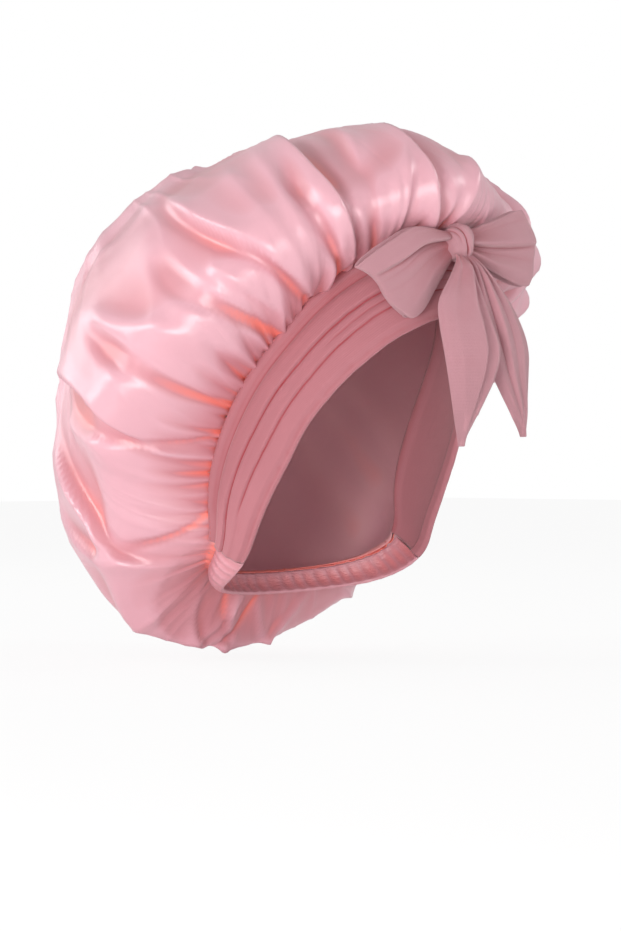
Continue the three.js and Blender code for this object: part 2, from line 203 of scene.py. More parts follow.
# Loose folds: where few are added between the main ones, their nets (cells round the crown and
# up it, shift and sway), and the soft flowing ones (height, span, width and shift)
NAPE_SHARE = 0.5
SEEN_MIDDLE_SHARE = 0.83
SEEN_HALF_SHARES = [0.25, 0.30]
SEEN_TOP_SHARES = [0.52, 0.78]
SEEN_LOOSE_SHARE = 0.14
NET_WIDTH = 0.15
LARGE_NET = [34, 1.8, 0.0, 0.03]
MIDDLE_NET = [84, 3.0, 9.5, 0.02]
MIDDLE_HEIGHT_SHARE = 0.5
LARGE_START_SHARE = 0.14
LARGE_FADE_SHARES = [0.45, 0.85]
MIDDLE_START_SHARE = 0.05
MIDDLE_FADE_SHARES = [0.12, 0.45]
SOFT_FOLDS = [[1.0, 1.5, 0.2, 5], [0.6, 0.8, 0.13, 12]]
SOFT_START_SHARES = [0.3, 0.6]
FLOW_STRETCH = [1, 1, 0.6]
FLOW_BEND = 0.55
SINK_START_SHARES = [0.08, 0.3]
CALM_SHARE = 0.3
CALM_SHARES = [0.09, 0.16]

# Long waves of the whole crown: how many go round, level and height as shares of the puffs
WAVE_COUNTS = range(5, 23)
WAVE_SWAY = 1.2
WAVE_LEVEL_SHARE = 0.05
WAVE_HEIGHT_SHARE = 0.16
WAVE_START_SHARE = 0.3
WAVE_FADE_SHARE = 0.45

# Small folds that leave the seam: width and reach, how far they may lie from even places, how
# much they may differ, how they widen, and how much painted glow fills their hollows and the seam
GATHER_WIDTH = 0.0026
GATHER_REACH_SHARE = 0.13
SLIT_WIDTH = 0.0012
SLIT_REACH_SHARE = 0.06
PUCKER_WIDTH = 0.0012
PUCKER_REACH_SHARE = 0.03
SMALL_FOLD_SHIFT = 0.35
SMALL_FOLD_SLANT = 0.08
SMALL_SIZE_SHARES = [0.4, 1.25]
SMALL_REACH_SHARES = [0.4, 1.4]
SMALL_WIDENING = 9
SMALL_CUT = 4
SMALL_POINT = 1.4
SMALL_FADE_POINT = 1.8
SLIT_GLOW_SHARE = 0.8
SEAM_GLOW_SHARE = 0.45
SEAM_GLOW_FADE_SHARES = [0.004, 0.03]

# Folds of a tie: how fast they rise from its edges, and the share that is left there
TIE_EDGE_PACE = 4
TIE_EDGE_SHARE = 0.3

# Threads of a cloth: counts along and across, share across and depth. Wrinkles by its edge:
# cells round and up, reach and depth
SATIN_THREADS = [2400, 900, 0.4, 0.00001]
SATIN_WRINKLES = [24, 5, 0.6, 0.0008]
CASING_THREADS = [180, 700, 0.4, 0.00001]
CASING_WRINKLES = [4, 60, 9.0, 0.0006]
BAND_THREADS = [620, 60, 0.5, 0.00003]
FACING_THREADS = [620, 60, 0.5, 0.00006]
TIE_THREADS = [220, 60, 0.5, 0.00003]
KNIT_WRINKLES = [3, 30, 50.0, 0.0002]


def srgb(red, green, blue):
    """Linear colour of three display values from 0 to 255, with full alpha."""
    def linear(value):
        share = value / 255
        return share / 12.92 if share <= 0.04045 else ((share + 0.055) / 1.055) ** 2.4
    return (linear(red), linear(green), linear(blue), 1.0)


def length_size(name, description, default):
    """A length that a user may change, in metres."""
    return bpy.props.FloatProperty(
        name=name, description=description, default=default, unit="LENGTH", precision=4
    )


def plain_colour(name, description, default):
    """A colour that a user may change."""
    return bpy.props.FloatVectorProperty(
        name=name, description=description, default=default, subtype="COLOR", size=4, min=0, max=1
    )


def direction_size(name, description, default):
    """A reach along the three axes, in metres."""
    return bpy.props.FloatVectorProperty(
        name=name, description=description, default=default, subtype="TRANSLATION", unit="LENGTH"
    )


class BonnetSizes(bpy.types.PropertyGroup):
    """Sizes of the opening, the crown and the band."""

    opening_half_width: length_size("Opening half width", "Seam to centre, across", 0.080)
    opening_half_depth: length_size("Opening half depth", "Seam to centre, front to back", 0.086)
    opening_half_height: length_size("Opening half height", "Seam to centre, upwards", 0.133)
    opening_tilt: bpy.props.FloatProperty(
        name="Opening tilt", description="Slope of the opening from the horizontal",
        default=math.radians(43.5), subtype="ANGLE",
    )
    band_width: length_size("Band width", "Seam to free edge at the front", 0.053)
    band_bulge: length_size("Band bulge", "Rise of the band between its edges", 0.003)
    pleat_rise: length_size("Pleat rise", "Height of a pleat over its crease", 0.0028)
    knit_wall: length_size("Knit wall", "Thickness of the band's cloth", 0.0011)
    satin_wall: length_size("Satin wall", "Thickness of the crown's cloth", 0.0005)
    crown_half_width: length_size("Crown half width", "Across the crown", 0.150)
    crown_half_length: length_size("Crown half length", "Along the tilted opening", 0.141)
    crown_half_depth: length_size("Crown half depth", "Square to the opening", 0.169)
    crown_back: length_size("Crown set back", "Centre of the crown behind the opening", 0.048)
    crown_drop: length_size("Crown drop", "Centre of the crown below the opening's centre", 0.020)
    front_puff: length_size("Front puff", "Swell of the crown by the seam in front", 0.005)
    nape_puff: length_size("Nape puff", "Swell of the crown by the seam at the nape", 0.030)
    casing_bore: length_size("Casing bore", "Room for the elastic", 0.0034)
    casing_wall: length_size("Casing wall", "Thickness of the casing's cloth", 0.0006)
    elastic_width: length_size("Elastic width", "Width of the elastic", 0.012)
    elastic_thickness: length_size("Elastic thickness", "Thickness of the elastic", 0.0014)


class BonnetFolds(bpy.types.PropertyGroup):
    """Folds and gathers of the satin."""

    main_share: bpy.props.FloatProperty(
        name="Main folds", description="Height of the main folds as a share", default=1.0
    )
    puff_height: length_size("Puff height", "Height of the rounded puffs of the crown", 0.006)
    most_height: length_size("Most height", "Highest fold of the crown", 0.018)
    loose_height: length_size("Loose folds", "Height of the folds of middle size", 0.0055)
    sink: length_size("Sink", "How far the cloth lies in between its folds", 0.0018)
    soft_height: length_size("Soft folds", "Height of the folds at the back", 0.0065)
    soft_span: length_size("Soft fold span", "Distance between folds at the back", 0.06)
    gather_height: length_size("Gather height", "Height of the folds that leave the seam", 0.0032)
    gather_count: bpy.props.IntProperty(
        name="Gathers", description="Folds that leave the seam", default=64
    )
    slit_depth: length_size("Slit depth", "Depth of the pinches at the seam", 0.0032)
    slit_count: bpy.props.IntProperty(
        name="Slits", description="Pinches along the seam", default=100
    )
    pucker_height: length_size("Pucker height", "Height of the small puckers at the seam", 0.0016)
    pucker_count: bpy.props.IntProperty(
        name="Puckers", description="Small puckers along the seam", default=150
    )
    seed: bpy.props.IntProperty(name="Seed", description="Which unseen folds are drawn", default=11)


class TieSizes(bpy.types.PropertyGroup):
    """Sizes of the bow."""

    knot_half_width: length_size("Knot half width", "Across the knot", 0.0076)
    knot_half_depth: length_size("Knot half depth", "Front to back of the knot", 0.0086)
    knot_half_height: length_size("Knot half height", "Upwards in the knot", 0.0102)
    knot_drop: length_size("Knot drop", "Seam to the knot's centre", 0.007)
    right_loop_reach: direction_size("Right loop", "Knot to the loop's end", (-0.052, 0.008, -0.033))
    right_loop_width: length_size("Right loop width", "Width of the loop", 0.048)
    left_loop_reach: direction_size("Left loop", "Knot to the loop's end", (0.064, -0.002, -0.002))
    left_loop_width: length_size("Left loop width", "Width of the loop", 0.047)
    loop_gape: length_size("Loop gape", "Between the two layers of a loop", 0.007)
    right_tail_reach: direction_size("Right tail", "Knot to the tip", (-0.007, -0.008, -0.114))
    right_tail_width: length_size("Right tail width", "Width of the tail", 0.042)
    left_tail_reach: direction_size("Left tail", "Knot to the tip", (0.040, -0.009, -0.108))
    left_tail_width: length_size("Left tail width", "Width of the tail", 0.034)
    tie_wall: length_size("Tie wall", "Thickness of the doubled tie cloth", 0.0012)


class BonnetColours(bpy.types.PropertyGroup):
    """Colours of the cloths and threads, and the painted highlight, glow and shade laid on their folds.
    """

    satin: plain_colour("Satin", "Satin in plain light", srgb(214, 142, 151))
    # Painted highlight: a paler satin colour laid along the crests of the folds
    satin_painted_highlight: plain_colour("Satin crest", "Satin along its folds", srgb(231, 176, 188))
    # Painted glow: warm salmon laid in the satin's hollows, slits and seam for light bouncing between
    # the folds
    satin_painted_glow: plain_colour("Satin hollow", "Satin in its hollows", srgb(255, 138, 126))
    # The lining is paler than the outer satin: painted light that lifts the shade inside the crown
    lining: plain_colour("Lining", "Inside satin", srgb(242, 190, 196))
    knit: plain_colour("Knit", "Cloth of the band", srgb(186, 121, 129))
    # Painted shade: a deep red laid in the knit's creases and hollows and near the knot
    knit_painted_shade: plain_colour("Knit hollow", "Knit in its creases", srgb(170, 60, 68))
    tie: plain_colour("Tie", "Cloth of the bow", srgb(198, 146, 155))
    thread: plain_colour("Thread", "Sewing thread", srgb(206, 122, 128))
    elastic: plain_colour("Elastic", "Tape inside the casing", srgb(240, 232, 226))


def smooth_step(value, low, high):
    """A share that runs smoothly from 0 at low to 1 at high."""
    share = np.clip((value - low) / (high - low), 0, 1)
    return share * share * (3 - 2 * share)


def unit(vectors):
    """Vectors brought to a length of 1."""
    return vectors / np.maximum(np.linalg.norm(vectors, axis=-1, keepdims=True), 1e-12)


def mirrored(rows):
    """A closed ring of stations: those on the wearer's left and their mirror images."""
    left = np.array(rows, float)
    return np.concatenate([left, left[1:-1][::-1] * np.array([-1, 1, 1])])


def on_ring(points, share):
    """A smooth closed curve through stations, where each span's pace follows its length."""
    place = np.mod(share, 1.0) * len(points)
    index = np.floor(place).astype(int) % len(points)
    t = (place - np.floor(place))[..., None]
    before, start, end, after = (points[(index + step) % len(points)] for step in (-1, 0, 1, 2))
    spans = [
        np.sum((q - p) ** 2, axis=-1, keepdims=True) ** 0.25
        for p, q in ((before, start), (start, end), (end, after))
    ]
    middle = np.where(spans[1] < 1e-4, 1.0, spans[1])
    first = np.where(spans[0] < 1e-4, middle, spans[0])
    last = np.where(spans[2] < 1e-4, middle, spans[2])
    leaving = (start - before) / first - (end - before) / (first + middle) + (end - start) / middle
    coming = (end - start) / middle - (after - start) / (middle + last) + (after - end) / last
    leaving *= middle
    coming *= middle
    bend = -3 * start + 3 * end - 2 * leaving - coming
    return start + leaving * t + bend * t**2 + (2 * start - 2 * end + leaving + coming) * t**3


def on_table(table, share):
    """Value of an evenly spaced table at a share of its length, rounded between entries."""
    values = np.array(table, float)
    place = np.clip(share, 0, 1) * (len(values) - 1)
    index = np.minimum(np.floor(place).astype(int), len(values) - 2)
    t = place - index
    before = values[np.maximum(index - 1, 0)]
    start = values[index]
    end = values[index + 1]
    after = values[np.minimum(index + 2, len(values) - 1)]
    bend = (2 * before - 5 * start + 4 * end - after) * t**2
    return start + 0.5 * ((end - before) * t + bend + (3 * start - before - 3 * end + after) * t**3)


class BonnetShape:
    """Where the bonnet's cloth lies, worked out from its sizes as in the frame."""

    STEP = 1e-3
    FRONT_RIM = math.radians(100)
    NAPE_RIM = math.radians(135)
    LIP = 0.2
    CROWDING = 1.35
    PUFF_PEAK = 1 / 3
    EVENING = 0.02

    def __init__(self, sizes):
        self.sizes = sizes
        halves = [sizes.opening_half_width, sizes.opening_half_depth, sizes.opening_half_height]
        self.seam_ring = mirrored(SEAM_SHARES) * np.array(halves)
        self.lean_ring = mirrored(LEAN_SHARES)
        self.width_ring = mirrored([[0, 0, share] for share in WIDTH_SHARES])
        tilt = sizes.opening_tilt
        self.frontward = np.array([0, -math.cos(tilt), math.sin(tilt)])
        self.outward = np.array([0, -math.sin(tilt), -math.cos(tilt)])

    def even(self, ring, u):
        """A closed curve with the small bends between its stations evened out."""
        around = on_ring(ring, u - self.EVENING) + on_ring(ring, u + self.EVENING)
        return around / 4 + on_ring(ring, u) / 2

    def seam(self, u):
        return self.even(self.seam_ring, u)

    def lean(self, u):
        return unit(self.even(self.lean_ring, u))

    def along(self, u):
        return unit(self.seam(u + self.STEP) - self.seam(u - self.STEP))

    def width(self, u):
        return self.sizes.band_width * self.even(self.width_ring, u)[..., 2]

    def pace(self, u):
        """Metres along the seam for a whole turn of its share."""
        ends = self.seam(u + self.STEP) - self.seam(u - self.STEP)
        return np.linalg.norm(ends, axis=-1) / (2 * self.STEP)

    def crown(self, u, height):
        """The crown without its folds, from the seam at height 0 to its peak at 1."""
        sizes = self.sizes
        u, height = np.broadcast_arrays(np.asarray(u, float), np.asarray(height, float))
        v = height**self.CROWDING
        seam = self.seam(u)
        front = (seam @ self.frontward + sizes.crown_drop) / sizes.crown_half_length
        heading = np.arctan2(seam[..., 0] / sizes.crown_half_width, front)
        nape = smooth_step(np.abs(heading), TURN / 4, TURN / 2)
        polar = (self.FRONT_RIM + (self.NAPE_RIM - self.FRONT_RIM) * nape) * (1 - v)
        full = on_table(CROWN_FULL_SHARES, np.abs(heading) / (TURN / 2))
        spread = np.sin(polar) * (1 + (full - 1) * np.sin(polar))
        bag = np.zeros(u.shape + (3,))
        bag[..., 0] = sizes.crown_half_width * spread * np.sin(heading)
        forward = sizes.crown_half_length * spread * np.cos(heading) - sizes.crown_drop
        out = -sizes.crown_half_depth * np.cos(polar) - sizes.crown_back
        bag += self.frontward * forward[..., None] + self.outward * out[..., None]
        reach = np.minimum(v / self.LIP, 1)
        lean = self.lean(u)
        leaving = unit(unit(np.cross(lean, self.along(u))) - lean)
        swell = reach * (1 - reach) ** 2 / (self.PUFF_PEAK * (1 - self.PUFF_PEAK) ** 2)
        puff = (sizes.front_puff + (sizes.nape_puff - sizes.front_puff) * nape) * swell
        blend = (1 - (1 - reach) ** 3)[..., None]
        return seam * (1 - blend) + bag * blend + leaving * puff[..., None]

    def band(self, u, across, inset=0.0):
        """A place on the band: u round the loop, across from the seam to the free edge."""
        u, across = np.broadcast_arrays(np.asarray(u, float), np.asarray(across, float))
        lean = self.lean(u)
        place = self.seam(u) + lean * (inset + (self.width(u) - inset) * across)[..., None]
        square = unit(np.cross(lean, self.along(u)))
        return place + square * (self.sizes.band_bulge * 4 * across * (1 - across))[..., None]


def normals_of(surface, u, v, step=1e-3):
    """Square directions of a surface that takes two shares."""
    along = surface(u + step, v) - surface(u - step, v)
    across = surface(u, np.minimum(v + step, 1)) - surface(u, np.maximum(v - step, 0))
    return unit(np.cross(along, across))


def shape_of(context):
    """The bonnet's shape for the sizes of the scene."""
    return BonnetShape(context.scene.bonnet_sizes)


def deselect_all():
    bpy.ops.object.select_all(action="DESELECT")


def make_active(piece):
    deselect_all()
    piece.select_set(True)
    bpy.context.view_layer.objects.active = piece


def corners_of(piece):
    """Places of a piece's corners, one row each."""
    corners = np.empty(len(piece.data.vertices) * 3)
    piece.data.vertices.foreach_get("co", corners)
    return corners.reshape(-1, 3)


def set_corners(piece, corners):
    piece.data.vertices.foreach_set("co", np.ascontiguousarray(corners, float).ravel())
    piece.data.update()


def cloth_grid(name, columns, rows, surface, closes=False):
    """A sheet made from a grid: surface takes its two shares and gives places in metres."""
    deselect_all()
    bpy.ops.mesh.primitive_grid_add(x_subdivisions=columns, y_subdivisions=rows, size=1)
    piece = bpy.context.active_object
    piece.name = name
    piece.data.name = name
    shares = corners_of(piece)[:, :2] + 0.5
    set_corners(piece, surface(shares[:, 0], shares[:, 1]))
    if closes:
        bpy.ops.object.mode_set(mode="EDIT")
        bpy.ops.mesh.select_all(action="SELECT")
        bpy.ops.mesh.remove_doubles(threshold=1e-6)
        bpy.ops.object.mode_set(mode="OBJECT")
    bpy.ops.object.shade_smooth()
    return piece


def corner_shares(piece):
    """The two shares that each corner was made from, read back from the piece's map."""
    mesh = piece.data
    corners = np.empty(len(mesh.loops), int)
    mesh.loops.foreach_get("vertex_index", corners)
    places = np.empty(len(mesh.loops) * 2)
    mesh.uv_layers.active.data.foreach_get("uv", places)
    shares = np.zeros((len(mesh.vertices), 2))
    shares[corners] = places.reshape(-1, 2)
    return shares


def apply_modifier(piece, kind, **settings):
    """Adds a modifier with its settings and applies it at once."""
    make_active(piece)
    modifier = piece.modifiers.new(kind.title(), kind)
    for setting, value in settings.items():
        setattr(modifier, setting, value)
    bpy.ops.object.modifier_apply(modifier=modifier.name)


def face_outwards(piece):
    """Turns all faces of a piece outwards."""
    make_active(piece)
    bpy.ops.object.mode_set(mode="EDIT")
    bpy.ops.mesh.select_all(action="SELECT")
    bpy.ops.mesh.normals_make_consistent(inside=False)
    bpy.ops.object.mode_set(mode="OBJECT")


def mark_hollows(piece, rounds, depth, painted_glow_and_shade=0.0):
    """Stores a painted shade mask: how deep each corner lies in a hollow, from -1 on a crest to 1 in a
    hollow, plus the painted glow given.
    """
    mesh = piece.data
    ends = np.empty(len(mesh.edges) * 2, int)
    mesh.edges.foreach_get("vertices", ends)
    ends = ends.reshape(-1, 2)
    count = len(mesh.vertices)
    corners = corners_of(piece)
    neighbours = np.bincount(ends.ravel(), minlength=count)[:, None]
    level = corners.copy()
    for _ in range(rounds):
        total = np.stack([
            np.bincount(ends[:, 0], level[ends[:, 1], axis], count)
            + np.bincount(ends[:, 1], level[ends[:, 0], axis], count)
            for axis in range(3)
        ], axis=-1)
        level = total / np.maximum(neighbours, 1)
    normals = np.empty(count * 3)
    mesh.vertex_normals.foreach_get("vector", normals)
    hollow = np.sum((level - corners) * normals.reshape(-1, 3), axis=-1) / depth + painted_glow_and_shade
    layer = mesh.attributes.new("hollow", "FLOAT", "POINT")
    layer.data.foreach_set("value", np.clip(hollow, -1, 1))


def settle(piece, body, slot, material, *nodes):
    """Gives a finished piece its body, its material and the nodes it stands for; slot is not used."""
    piece.data.materials.clear()
    piece.data.materials.append(material)
    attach(piece, body)
    if nodes:
        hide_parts(*nodes)


def crest_profile(distance, below, above, point):
    """Height across a fold: full at its crest, with its own width on either side."""
    side = np.where(distance < 0, below, above)
    return np.exp(-np.abs(distance / side) ** point)


def petal_profile(distance, below, above, point):
    """A fold that rises slowly on its wide side and drops into a crease on its narrow one."""
    narrow = np.minimum(below, above)
    toward = np.sign(above - below)
    past = distance * toward + BESIDE_PLACE * narrow
    crease = np.exp(-((past / (BESIDE_WIDTH * narrow)) ** 2))
    lopsided = smooth_step(np.maximum(below, above) / narrow, *LOPSIDED)
    crest = crest_profile(distance, below, above, point)
    return crest - BESIDE_DEPTH_SHARE * lopsided * crease


def fold_path(seam_share, middle_share, end_share, t):
    """Place of a fold round the loop at a share t of its reach."""
    bend = 2 * (seam_share + end_share - 2 * middle_share)
    return seam_share + (end_share - seam_share - bend) * t + bend * t * t


def wrapped(distance):
    """Difference of two shares of the loop, the short way round."""
    return (distance + 0.5) % 1.0 - 0.5


def all_main_folds(folds):
    """The folds of the wearer's right, and others like them on the left."""
    draw = np.random.default_rng(folds.seed)
    rows = [list(row) for row in MAIN_FOLDS]
    for row in MAIN_FOLDS:
        if row[0] > 1 - NEAR_FRONT_SHARE:
            continue
        shift = draw.uniform(-UNSEEN_SHIFT, UNSEEN_SHIFT)
        size = 1 + draw.uniform(-UNSEEN_SPREAD, UNSEEN_SPREAD)
        ends = [1 - share + shift for share in row[:3]]
        start, reach, rise, below, above, point = row[3:]
        rows.append([*ends, start, reach * size, rise * size, above, below, point])
    return rows


def fold_height(u, v, pace, row):
    """Height of one fold in metres, and the painted glow in its hollow here."""
    seam_share, middle, end, start, reach, rise, below, above, point = row
    t = np.clip(v / reach, 0, 1)
    ahead = fold_path(seam_share, middle, end, t + SLOPE_STEP)
    path = fold_path(seam_share, middle, end, t)
    slope = (ahead - path) / (SLOPE_STEP * reach) * pace / CROWN_LENGTH
    distance = wrapped(u - path) * pace / np.sqrt(1 + slope * slope)
    widening = smooth_step(v, 0, FULL_WIDTH_SHARE)
    narrow = MILLIMETRE * (SEAM_WIDTH_SHARE + (1 - SEAM_WIDTH_SHARE) * widening)
    low, high = (np.maximum(side * narrow, LEAST_FOLD_WIDTH) for side in (below, above))
    profile = petal_profile(distance, low, high, point)
    rising = LOW_RISE_SHARE + (1 - LOW_RISE_SHARE) * smooth_step(v, *FULL_RISE_SHARES)
    along = smooth_step(v, 0, SEAM_RISE_SHARE) * rising * (1 - smooth_step(t, FADE_START_SHARE, 1))
    if start > 0:
        along *= smooth_step(v, start, start + LATE_START_SHARE)
    glow = np.zeros_like(u)
    if rise < 0:
        fade = smooth_step(t, *GLOW_START_SHARES) * (1 - smooth_step(t, *GLOW_FADE_SHARES))
        glow = -rise / GLOW_DEPTH * profile * fade
    return rise * MILLIMETRE * profile * along, glow


def ridge_net(points, width, point=1.3):
    """Crests along the lines where a smooth noise is zero, from 0 to 1."""
    values = np.array([noise.noise(place) for place in points.tolist()])
    return np.exp(-np.abs(values / width) ** point)


def ring_points(u, v, cells, rise, seed, sway=0.0):
    """Places in a noise for cells round the crown and rise cells up it."""
    turn = TURN * (u + sway * np.sin(TURN * 2 * u + 4 * v) * v)
    radius = cells / TURN
    return np.stack([radius * np.cos(turn), radius * np.sin(turn), rise * v + seed], axis=-1)


def flowing_places(place, span, seed):
    """Places in a noise that bend about, so that folds drawn from it flow like cloth."""
    bends = np.array([noise.noise_vector(point) for point in (place / span + seed).tolist()])
    stretched = place * np.array(FLOW_STRETCH) / span
    return stretched + FLOW_BEND * bends + seed


def away_from_nape(u):
    """Share of the small folds' height: full round the loop, and less at the nape."""
    away = smooth_step(np.abs(wrapped(u - NAPE_SHARE)), *CALM_SHARES)
    return CALM_SHARE + (1 - CALM_SHARE) * away


def loose_height(folds, u, v, place):
    """Height of the folds that fall where they like, in metres."""
    seen = 1 - smooth_step(np.abs(wrapped(u - SEEN_MIDDLE_SHARE)), *SEEN_HALF_SHARES)
    seen *= 1 - smooth_step(v, *SEEN_TOP_SHARES)
    share = 1 + (SEEN_LOOSE_SHARE - 1) * seen
    large, middle = (
        ridge_net(ring_points(u, v, cells, rise, folds.seed + shift, sway), NET_WIDTH)
        for cells, rise, shift, sway in (LARGE_NET, MIDDLE_NET)
    )
    large *= smooth_step(v, 0, LARGE_START_SHARE) * (1 - smooth_step(v, *LARGE_FADE_SHARES))
    middle *= smooth_step(v, 0, MIDDLE_START_SHARE) * (1 - smooth_step(v, *MIDDLE_FADE_SHARES))
    middle *= away_from_nape(u)
    height = folds.loose_height * (large + MIDDLE_HEIGHT_SHARE * middle)
    for size, span, width, shift in SOFT_FOLDS:
        flow = flowing_places(place, span * folds.soft_span, folds.seed + shift)
        net = ridge_net(flow, width, 2)
        height += size * folds.soft_height * net * smooth_step(v, *SOFT_START_SHARES)
    return share * height - folds.sink * smooth_step(v, *SINK_START_SHARES)


def long_waves(folds, u, v):
    """Slow waves of the whole crown, between about -3 and 3."""
    draw = np.random.default_rng(folds.seed + 2)
    waves = np.zeros_like(u)
    for count in WAVE_COUNTS:
        turn = draw.uniform(0, TURN)
        sway = draw.uniform(-WAVE_SWAY, WAVE_SWAY)
        waves += np.cos(TURN * count * u + turn + sway * np.sin(3 * v + turn)) / count**0.5
    return waves


def seam_folds(folds, u, v, pace):
    """Height of the gathers, pinches and puckers that leave the seam, and the painted glow in the
    pinches.
    """
    height = np.zeros_like(u)
    painted_glow_and_shade = np.zeros_like(u)
    calm = away_from_nape(u)
    draw = np.random.default_rng(folds.seed + 1)
    for count, rise, width, reach in (
        (folds.gather_count, folds.gather_height, GATHER_WIDTH, GATHER_REACH_SHARE),
        (folds.slit_count, -folds.slit_depth, SLIT_WIDTH, SLIT_REACH_SHARE),
        (folds.pucker_count, folds.pucker_height, PUCKER_WIDTH, PUCKER_REACH_SHARE),
    ):
        for index in range(count):
            centre = (index + draw.uniform(-SMALL_FOLD_SHIFT, SMALL_FOLD_SHIFT)) / count
            slant = draw.uniform(-SMALL_FOLD_SLANT, SMALL_FOLD_SLANT)
            size = draw.uniform(*SMALL_SIZE_SHARES)
            length = reach * draw.uniform(*SMALL_REACH_SHARES)
            distance = wrapped(u - centre - slant * v) * pace
            spread = width * (1 + SMALL_WIDENING * v)
            near = np.abs(distance) < SMALL_CUT * spread
            along = np.exp(-((v[near] / length) ** SMALL_FADE_POINT)) * calm[near]
            shape = np.exp(-np.abs(distance[near] / spread[near]) ** SMALL_POINT) * along
            height[near] += rise * size * shape
            # The pinches get a painted glow in their hollows
            if rise < 0:
                painted_glow_and_shade[near] += SLIT_GLOW_SHARE * size * shape
    return height, painted_glow_and_shade


def crown_height(folds, u, v, pace, place):
    """Height of the satin over the smooth crown in metres, and how much painted glow lies in its
    hollows.

    Pace is how many metres a whole turn of u takes, and place is where the smooth crown is.
    """
    # Noise vectors take their offsets from the clock unless a seed is set
    noise.seed_set(folds.seed)
    fade = smooth_step(v, 0, WAVE_START_SHARE) * (1 - smooth_step(v, WAVE_FADE_SHARE, 1))
    waves = WAVE_LEVEL_SHARE + WAVE_HEIGHT_SHARE * long_waves(folds, u, v)
    height = folds.puff_height * waves * fade
    height += loose_height(folds, u, v, place)
    small, painted_glow_and_shade = seam_folds(folds, u, v, pace)
    height += small
    for row in all_main_folds(folds):
        rise, glow = fold_height(u, v, pace, row)
        height += folds.main_share * rise
        painted_glow_and_shade += glow
    # Painted glow along the seam's edge
    painted_glow_and_shade += SEAM_GLOW_SHARE * (1 - smooth_step(v, *SEAM_GLOW_FADE_SHARES))
    most = folds.most_height
    height = np.where(height > 0, most * np.tanh(height / most), height)
    return height, np.clip(painted_glow_and_shade, 0, 1)


class Nodes:
    """Adds shader nodes to a tree, with values for their sockets."""

    def __init__(self, tree):
        self.tree = tree

    def add(self, kind, values=None, **settings):
        node = self.tree.nodes.new(kind)
        for setting, value in settings.items():
            setattr(node, setting, value)
        for socket, value in (values or {}).items():
            if isinstance(value, bpy.types.NodeSocket):
                self.tree.links.new(value, node.inputs[socket])
            else:
                node.inputs[socket].default_value = value
        return node

    def math(self, operation, first, second=0.0, clamp=False):
        node = self.add("ShaderNodeMath", {0: first, 1: second}, operation=operation, use_clamp=clamp)
        return node.outputs[0]

    def mix(self, factor, first, second, blend="MIX"):
        node = self.add("ShaderNodeMix", data_type="RGBA", blend_type=blend)
        for socket, value in ((0, factor), (6, first), (7, second)):
            if isinstance(value, bpy.types.NodeSocket):
                self.tree.links.new(value, node.inputs[socket])
            else:
                node.inputs[socket].default_value = value
        return node.outputs[2]


def new_group(name, inputs, outputs):
    """A shader node group with named sockets, and its nodes to fill in."""
    group = bpy.data.node_groups.new(name, "ShaderNodeTree")
    for socket, kind, default in inputs:
        made = group.interface.new_socket(name=socket, in_out="INPUT", socket_type=kind)
        made.default_value = default
    for socket, kind in outputs:
        group.interface.new_socket(name=socket, in_out="OUTPUT", socket_type=kind)
    nodes = Nodes(group)
    return group, nodes, nodes.add("NodeGroupInput"), nodes.add("NodeGroupOutput")


def folded_cloth_group():
    """Colour of a cloth with painted shade and glow deepening its hollows and a painted highlight
    paling its crests.
    """
    name = "folded_cloth"
    if name in bpy.data.node_groups:
        return bpy.data.node_groups[name]
    group, nodes, given, result = new_group(
        name,
        [
            ("Plain", "NodeSocketColor", (1, 1, 1, 1)),
            ("Painted Highlight", "NodeSocketColor", (1, 1, 1, 1)),
            ("Painted Hollow", "NodeSocketColor", (1, 1, 1, 1)),
            ("Crest Amount", "NodeSocketFloat", 1.0),
            ("Hollow Amount", "NodeSocketFloat", 1.0),
            ("Mottle Scale", "NodeSocketFloat", 40.0),
            ("Mottle", "NodeSocketFloat", 0.1),
        ],
        [("Color", "NodeSocketColor")],
    )
    hollow = nodes.add("ShaderNodeAttribute", attribute_name="hollow").outputs["Fac"]
    place = nodes.add("ShaderNodeTexCoord").outputs["Object"]
    cloud = nodes.add(
        "ShaderNodeTexNoise",
        {"Vector": place, "Scale": given.outputs["Mottle Scale"], "Detail": 3.0},
    ).outputs["Fac"]
    shift = nodes.math("MULTIPLY", nodes.math("SUBTRACT", cloud, 0.5), given.outputs["Mottle"])
    depth = nodes.math("ADD", hollow, shift)
    deep = nodes.math("MULTIPLY", depth, given.outputs["Hollow Amount"], clamp=True)
    raised = nodes.math("MULTIPLY", given.outputs["Crest Amount"], -1.0)
    pale = nodes.math("MULTIPLY", depth, raised, clamp=True)
    # Painted highlight pales the crests, then painted shade and glow deepen the hollows
    colour = nodes.mix(pale, given.outputs["Plain"], given.outputs["Painted Highlight"])
    colour = nodes.mix(deep, colour, given.outputs["Painted Hollow"])
    group.links.new(colour, result.inputs["Color"])
    return group


def threads_group():
    """Height of fine threads that run both ways over a cloth's own map."""
    name = "fine_threads"
    if name in bpy.data.node_groups:
        return bpy.data.node_groups[name]
    group, nodes, given, result = new_group(
        name,
        [
            ("Along Count", "NodeSocketFloat", 800.0),
            ("Across Count", "NodeSocketFloat", 300.0),
            ("Across Share", "NodeSocketFloat", 0.3),
        ],
        [("Height", "NodeSocketFloat")],
    )
    place = nodes.add("ShaderNodeTexCoord").outputs["UV"]
    split = nodes.add("ShaderNodeSeparateXYZ", {"Vector": place})
    waves = []
    for axis, count in (("X", "Along Count"), ("Y", "Across Count")):
        turns = nodes.math("MULTIPLY", split.outputs[axis], given.outputs[count])
        waves.append(nodes.math("SINE", nodes.math("MULTIPLY", turns, TURN)))
    cross = nodes.math("MULTIPLY", waves[1], given.outputs["Across Share"])
    group.links.new(nodes.math("ADD", waves[0], cross), result.inputs["Height"])
    return group


